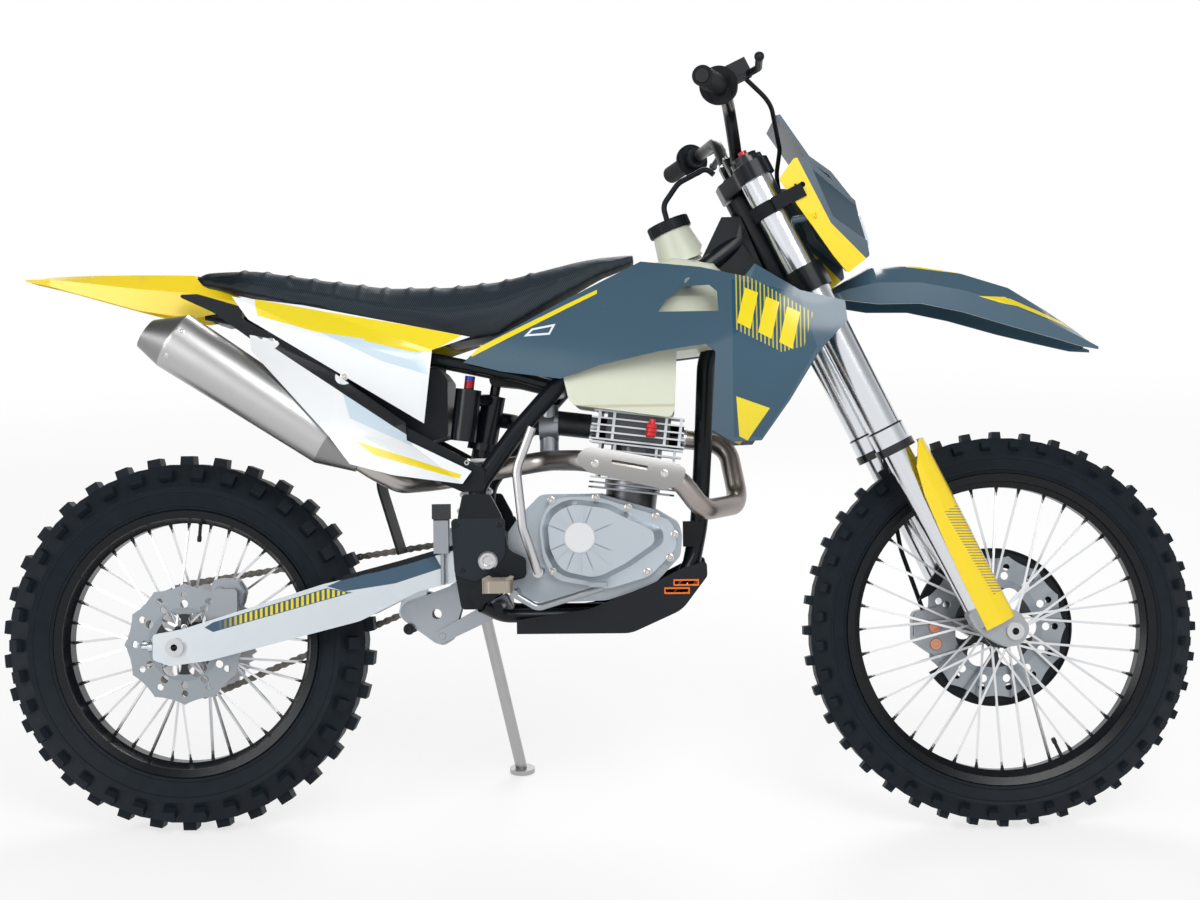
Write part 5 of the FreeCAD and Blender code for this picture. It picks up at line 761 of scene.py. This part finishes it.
def swelled(name, node, shape, finish, body, cell, reach, moments):
    """A padded piece in a CAD node's place: its cover is blown up a little by cloth simulation."""
    mesh = frame["nodes"][node].data.copy()
    mesh.transform(frame["nodes"][node].matrix_world)
    pad = bpy.data.objects.new(name, mesh)
    bpy.context.scene.collection.objects.link(pad)
    bpy.context.view_layer.objects.active = pad
    pad.modifiers.new("Weld", "WELD").merge_threshold = WELD_UNDER
    remesh = pad.modifiers.new("Remesh", "REMESH")
    remesh.mode, remesh.voxel_size = "VOXEL", cell
    slack = pad.modifiers.new("Slack", "DISPLACE")
    slack.strength, slack.mid_level = -SLACK, 0.0
    soft = pad.modifiers.new("Soft", "SMOOTH")
    soft.factor, soft.iterations = 0.5, 6
    for modifier in list(pad.modifiers):
        bpy.ops.object.modifier_apply(modifier=modifier.name)
    mesh = pad.data
    start = [vertex.co.copy() for vertex in mesh.vertices]
    held = pad.vertex_groups.new(name="base")
    down = bike.to_3x3() @ Vector((0, 0, -1))
    held.add([v.index for v in mesh.vertices if v.normal.dot(down) > 0.5], 1.0, "REPLACE")
    cloth = pad.modifiers.new("Cloth", "CLOTH")
    cloth.settings.use_pressure, cloth.settings.uniform_pressure_force = True, PRESSURE
    cloth.settings.effector_weights.gravity = 0.0
    cloth.settings.vertex_group_mass = "base"
    cloth.settings.quality = 4
    cloth.point_cache.frame_end = moments
    for moment in range(1, moments + 1):
        bpy.context.scene.frame_set(moment)
    bpy.ops.object.modifier_apply(modifier="Cloth")
    bpy.context.scene.frame_set(1)
    for vertex, origin in zip(pad.data.vertices, start):
        moved = vertex.co - origin
        if moved.length > reach:
            vertex.co = origin + moved.normalized() * reach
    smooth = pad.modifiers.new("Smooth", "SUBSURF")
    smooth.levels = smooth.render_levels = 1
    bpy.ops.object.modifier_apply(modifier="Smooth")
    shape(pad.data)
    pad.data.materials.clear()
    pad.data.materials.append(finish.material)
    pad.data.shade_smooth()
    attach(pad, body)
    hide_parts(node)
    return pad


swelled("seat_pad", "seat", ribbed, seat_cover, "chassis", cell=0.006, reach=0.006, moments=20)

# Bodywork: moulded gloss panels in yellow, white and slate, with printed film on them.
# Each panel is bolted to a lug of the frame or the subframe, and each bolt head shows.
yellow = Finish("gloss_yellow", (0.84, 0.62, 0.008), 0.26, Coat_Weight=0.3)
yellow.grained(240.0, 0.0001, 0.3)
dress("rear_fender", yellow)
# The lemon is printed film. The pale blue paints shade on facets of the white panels that turn away from the
# light.
LEMON, FACET_SHADE = (0.80, 0.64, 0.012), (0.56, 0.68, 0.76)
BAND_LOW, BAND_HIGH = 0.435, 0.60
guard_yellow = Finish("guard_yellow", (0.84, 0.62, 0.008), 0.26, Coat_Weight=0.3)
height, depth = guard_yellow.along(fork, 2), guard_yellow.along(fork, 0)
ticks = (((height + depth * 0.5) * 190.0).sum("FRACT") - 0.62).edge(0.05)
band = (BAND_HIGH - height).edge() * (height - BAND_LOW).edge()
band = band * (depth - 0.046 + (height - 0.5) * 0.06).edge()
guard_yellow.tint(ticks * band * 0.8, (0.10, 0.12, 0.13))
guard_yellow.grained(240.0, 0.0001, 0.3)
dress("fork_guards", guard_yellow)
mask_paint = Finish("mask_paint", (0.84, 0.62, 0.008), 0.3, Specular_IOR_Level=0.3)
FACE_HALF_WIDE = 0.1395
face = (FACE_HALF_WIDE - abs(mask_paint.along(fork, 1))).edge()
face = face.most(mask_paint.within(mm((1087, 1164), (1142, 1053), (1202, 991), (1300, 991), (1300, 1300),
                                      (1087, 1300)), place=steered))
mask_paint.tint(face, (0.055, 0.090, 0.120)).grained(240.0, 0.0001, 0.3)
dress("headlamp_mask", mask_paint)
white = Finish("gloss_white", (0.80, 0.83, 0.85), 0.24, Coat_Weight=0.35)
# Painted shade: a facet of the white side panel is tinted pale blue, as a face turned away from the light.
shaded_facet = white.inside(mm((257, 886), (298, 892), (440, 848), (452, 806), (369, 832)))
white.tint(shaded_facet.edge(0.0006), FACET_SHADE)
white.tint(white.within(mm((146, 944), (428, 892), (400, 862), (257, 884), (153, 914)),
                        mm((428, 892), (510, 875), (454, 846), (420, 848), (340, 868), (340, 905))), LEMON)
white.crowned(0.86, 200.0)
dress("side_panels", white)
white_low = Finish("gloss_white_low", (0.80, 0.83, 0.85), 0.24, Coat_Weight=0.35)
# Painted shade: a facet of the lower panel is tinted pale blue, as a face turned away from the light.
shaded_facet = white_low.inside(mm((297, 796), (420, 731), (423, 683), (514, 640), (336, 691)))
stripe = white_low.within(mm((336, 691), (510, 632), (507, 625), (365, 667), (344, 683)))
white_low.tint(shaded_facet.edge(0.0006), FACET_SHADE).tint(stripe, LEMON)
ahead, up = white_low.along(bike, 0), white_low.along(bike, 2)
RAIL_FROM, RAIL_TO, RAIL_UP, RAIL_FALL, EAR_RADIUS = 0.148, 0.416, 0.879, 0.67, 0.015
above_rail = (up - RAIL_UP + (ahead - 0.150) * RAIL_FALL).edge()
above_rail = above_rail * (RAIL_TO - ahead).edge() * (ahead - RAIL_FROM).edge()
for ear_x, ear_z in ((0.176, 0.868), (0.304, 0.806)):
    above_rail = above_rail * ((ahead - ear_x).span(up - ear_z) - EAR_RADIUS).edge()
white_low.tint(above_rail, (0.010, 0.012, 0.014))
white_low.crowned(0.76, 200.0)
dress("lower_side_panels", white_low)
slate = Finish("gloss_slate", (0.045, 0.095, 0.140), 0.18, Coat_Weight=0.25)
inset = slate.within(mm((978, 960), (1090, 932), (1120, 840), (1068, 752), (1026, 690), (978, 690)))
slate.tint(inset, (0.018, 0.070, 0.115))
BARS_TO_METRE, FIRST_BAR = 150.0, 1000
bars = ((slate.along(bike, 0) * BARS_TO_METRE).sum("FRACT") - 0.66).edge(0.06)
field = slate.within(mm((984, 968), (1004, 964), (1114, 898), (1098, 842), (1060, 832), (984, 872)))
bold_bars = []
for lead in (FIRST_BAR, 1035, 1070):
    fall = (lead - FIRST_BAR) * 0.5
    bold_bars.append(mm((lead, 944 - fall), (lead + 22, 934 - fall), (lead + 8, 872 - fall),
                        (lead - 14, 884 - fall)))
bold = slate.within(*bold_bars)
slate.tint(bars * field * (1 - bold), (0.50, 0.43, 0.05)).tint(bold, LEMON)
flash = slate.within(mm((978, 838), (983, 759), (1039, 738), (1001, 684), (975, 698)))
stripe = slate.within(mm((520, 846), (746, 951), (746, 944), (526, 838)))
window = slate.inside(mm((618, 871), (632, 885), (674, 892), (664, 873)))
WINDOW_HIGHLIGHT = 0.0035
slate.tint(flash, LEMON).tint(stripe, LEMON)
# Painted highlight: a thin pale band just inside the shroud's window, as light caught along its rim.
slate.tint(window.edge() * (WINDOW_HIGHLIGHT - window).edge(), (0.75, 0.80, 0.84))
slate.crowned(0.85, 160.0)
dress("tank_shrouds", slate)
beak = Finish("beak_slate", (0.045, 0.095, 0.140), 0.2, Coat_Weight=0.25)
ridge_line = beak.within(mm((1290, 996), (1400, 981), (1402, 977), (1290, 991)), place=steered)
side_flash = beak.within(mm((1412, 934), (1462, 934), (1484, 916), (1452, 922)),
                         mm((1456, 931), (1470, 931), (1600, 878), (1600, 873), (1480, 917)), place=steered)
RIDGE_HALF_WIDE = 0.03
outer_half = (abs(beak.along(steered, 1)) - RIDGE_HALF_WIDE).edge()
beak.tint(ridge_line, LEMON).tint(side_flash * outer_half, LEMON)
beak.grained(160.0, 0.0001, 0.3)
dress("front_fender", beak)
lens = Finish("lamp_lens", (0.75, 0.78, 0.80), 0.12, Coat_Weight=0.6)
fluting = (lens.along(fork, 1) * 160.0).sum("SINE")
lens.bump(fluting, 0.0006, 0.5)
dress("headlamp", lens)
panel_bolts = [(176, -119, 868), (304, -119, 806), (516, -112, 653)]
repeat("panel_bolts", bolt(5, 4), facing(bike, panel_bolts, (0, -1, 0), both=True), zinc, "chassis")

# Fork: polished outer tubes with black rings, clamped in black, and hard-coated legs with cast feet.
# The bar is painted black and carries ribbed rubber grips. Four bolts hold it in its clamps.
LOW_RING, HIGH_RING, ADJUSTER, FOOT_TOP = 0.7415, 1.289, 1.3055, 0.428
SEAL_FROM, SEAL_TO = 0.7705, 0.774
polished = Finish("polished_alloy", (0.72, 0.75, 0.79), 0.18, 1.0)
height = polished.along(fork, 2)
ring = (LOW_RING - height).edge().most((height - HIGH_RING).edge())
ring = ring.most((SEAL_TO - height).edge() * (height - SEAL_FROM).edge())
polished.tint(ring, (0.012, 0.013, 0.015)).tint((height - ADJUSTER).edge(), (0.60, 0.015, 0.02))
polished.set("Metallic", 1 - ring * 0.9)
polished.set("Roughness", polished.noise(60.0) * 0.1 + 0.13)
dress("fork_tubes", polished)
leg = Finish("leg_coat", (0.70, 0.72, 0.75), 0.16, 1.0)
foot = (FOOT_TOP - leg.along(fork, 2)).edge()
leg.tint(foot, (0.36, 0.38, 0.40))
leg.set("Roughness", foot * 0.24 + 0.16)
dress("fork_legs", leg)
bar_black = Finish("bar_black", (0.005, 0.006, 0.008), 0.3, Specular_IOR_Level=0.3).worn(0.1)
dress("handlebar", bar_black)
grip_rubber = Finish("grip_rubber", (0.006, 0.007, 0.009), 0.62, Specular_IOR_Level=0.18)
ROWS_TO_METRE = 200.0
rows = (abs(grip_rubber.along(fork, 1)) * ROWS_TO_METRE).sum("FRACT") - 0.5
grip_rubber.bump(abs(rows) + grip_rubber.noise(900.0) * 0.2, 0.0016, 0.7)
dress("grips", grip_rubber)
clamp_spots = [(x, y, 1323) for x in (2, 26) for y in (-36, 36)]
repeat("bar_clamp_bolts", bolt(4, 5), facing(fork, clamp_spots, (0, 0, 1)), zinc, "steering")

# Studio: the camera stands at the photograph's place beside the bike, with three soft lamps round it.
# Floor and world look white to the camera and in reflections, and light the bike less than that.
# The sky darkens towards the top, so that gloss and metal have something dark to show.
CAMERA_AT = Vector((0.875, -3.382, 0.614))
YAW, TILT, ROLL = math.radians(-2.22), math.radians(1.02), math.radians(-0.66)
SENSOR, FOCAL_SHARE, SEES_TO = 36, 1885 / 1200, 60
look = Vector((math.sin(YAW) * math.cos(TILT), math.cos(YAW) * math.cos(TILT), math.sin(TILT)))
side = Vector((math.cos(YAW), -math.sin(YAW), 0))
rise = side.cross(look)
right = side * math.cos(ROLL) + rise * math.sin(ROLL)
above = rise * math.cos(ROLL) - side * math.sin(ROLL)
camera = bpy.data.objects.new("camera", bpy.data.cameras.new("camera"))
bpy.context.scene.collection.objects.link(camera)
aim = Matrix((right, above, -look)).transposed().to_4x4()
camera.matrix_world = bike @ Matrix.Translation(CAMERA_AT) @ aim
camera.data.sensor_width = SENSOR
camera.data.lens = SENSOR * FOCAL_SHARE
camera.data.clip_end = SEES_TO
bpy.context.scene.camera = camera

FLOOR_SIZE, NEAR_GLOW, FAR_GLOW, FAR_AT, FAR_SOFT = 40, 0.72, 0.28, 4.0, 2.4
bpy.ops.mesh.primitive_plane_add(size=FLOOR_SIZE)
floor = bpy.context.object
floor.name = "floor"
floor_paint = Finish("floor_paint", (0.86, 0.86, 0.86), 0.6)
rays = floor_paint.add("ShaderNodeLightPath")
camera_ray, glossy_ray, clear_ray = (Value(floor_paint, rays.outputs[name]) for name in (
    "Is Camera Ray", "Is Glossy Ray", "Is Transmission Ray"))
seen = camera_ray.most(glossy_ray).most(clear_ray)
glow = floor_paint.add("ShaderNodeEmission", Color=(1, 1, 1, 1), Strength=1.0)
blend = floor_paint.add("ShaderNodeMixShader")
distance = floor_paint.along(Matrix(), 0).span(floor_paint.along(Matrix(), 1))
floor_paint.feed(blend.inputs[0], seen * ((distance - FAR_AT).edge(FAR_SOFT) * FAR_GLOW + NEAR_GLOW))
floor_paint.feed(blend.inputs[1], floor_paint.shader.outputs[0])
floor_paint.feed(blend.inputs[2], glow.outputs[0])
output = next(n for n in floor_paint.tree.nodes if n.type == "OUTPUT_MATERIAL")
floor_paint.feed(output.inputs[0], blend.outputs[0])
floor.data.materials.append(floor_paint.material)
floor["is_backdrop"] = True

world = bpy.data.worlds.new("studio")
bpy.context.scene.world = world
world.use_nodes = True
sky = world.node_tree.nodes["Background"]
sky.inputs["Color"].default_value = (1, 1, 1, 1)


def studio_node(kind, settings=None, **inputs):
    """A node of the world's tree. Its inputs are told by number."""
    node = world.node_tree.nodes.new(kind)
    for key, item in (settings or {}).items():
        setattr(node, key, item)
    for key, item in inputs.items():
        place = node.inputs[int(key[1:])]
        if isinstance(item, bpy.types.NodeSocket):
            world.node_tree.links.new(item, place)
        else:
            place.default_value = item
    return node


DIFFUSE_SKY, DARK_SKY, BRIGHT_BELOW, DARK_ABOVE = 0.45, 0.22, 0.27, 0.60
path = studio_node("ShaderNodeLightPath").outputs
way = studio_node("ShaderNodeSeparateXYZ", _0=studio_node("ShaderNodeTexCoord").outputs["Generated"])
height = studio_node("ShaderNodeMapRange", {"interpolation_type": "SMOOTHSTEP"}, _0=way.outputs["Z"],
                     _1=BRIGHT_BELOW, _2=DARK_ABOVE, _3=1.0, _4=DARK_SKY)
seen = path["Is Camera Ray"]
for kind in ("Is Glossy Ray", "Is Transmission Ray"):
    seen = studio_node("ShaderNodeMath", {"operation": "MAXIMUM"}, _0=seen, _1=path[kind]).outputs[0]
level = studio_node("ShaderNodeMix", {"data_type": "FLOAT"}, _0=seen, _2=DIFFUSE_SKY,
                    _3=height.outputs[0])
world.node_tree.links.new(level.outputs[0], sky.inputs["Strength"])


def lamp(name, place, target, size, power):
    """A round soft lamp, aimed at a point."""
    data = bpy.data.lights.new(name, "AREA")
    data.shape, data.size, data.energy = "DISK", size, power
    item = bpy.data.objects.new(name, data)
    bpy.context.scene.collection.objects.link(item)
    item.location = place
    item.rotation_euler = (Vector(target) - Vector(place)).to_track_quat("-Z", "Y").to_euler()


lamp("key", (1.2, -3.2, 3.6), (0, 0, 0.5), 2.4, 105)
lamp("fill", (-2.6, -2.6, 2.0), (0, 0, 0.6), 2.0, 40)
lamp("back", (0.4, 3.0, 3.2), (0, 0, 0.6), 2.4, 90)

bpy.context.scene.view_settings.view_transform = "Standard"
low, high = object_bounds()
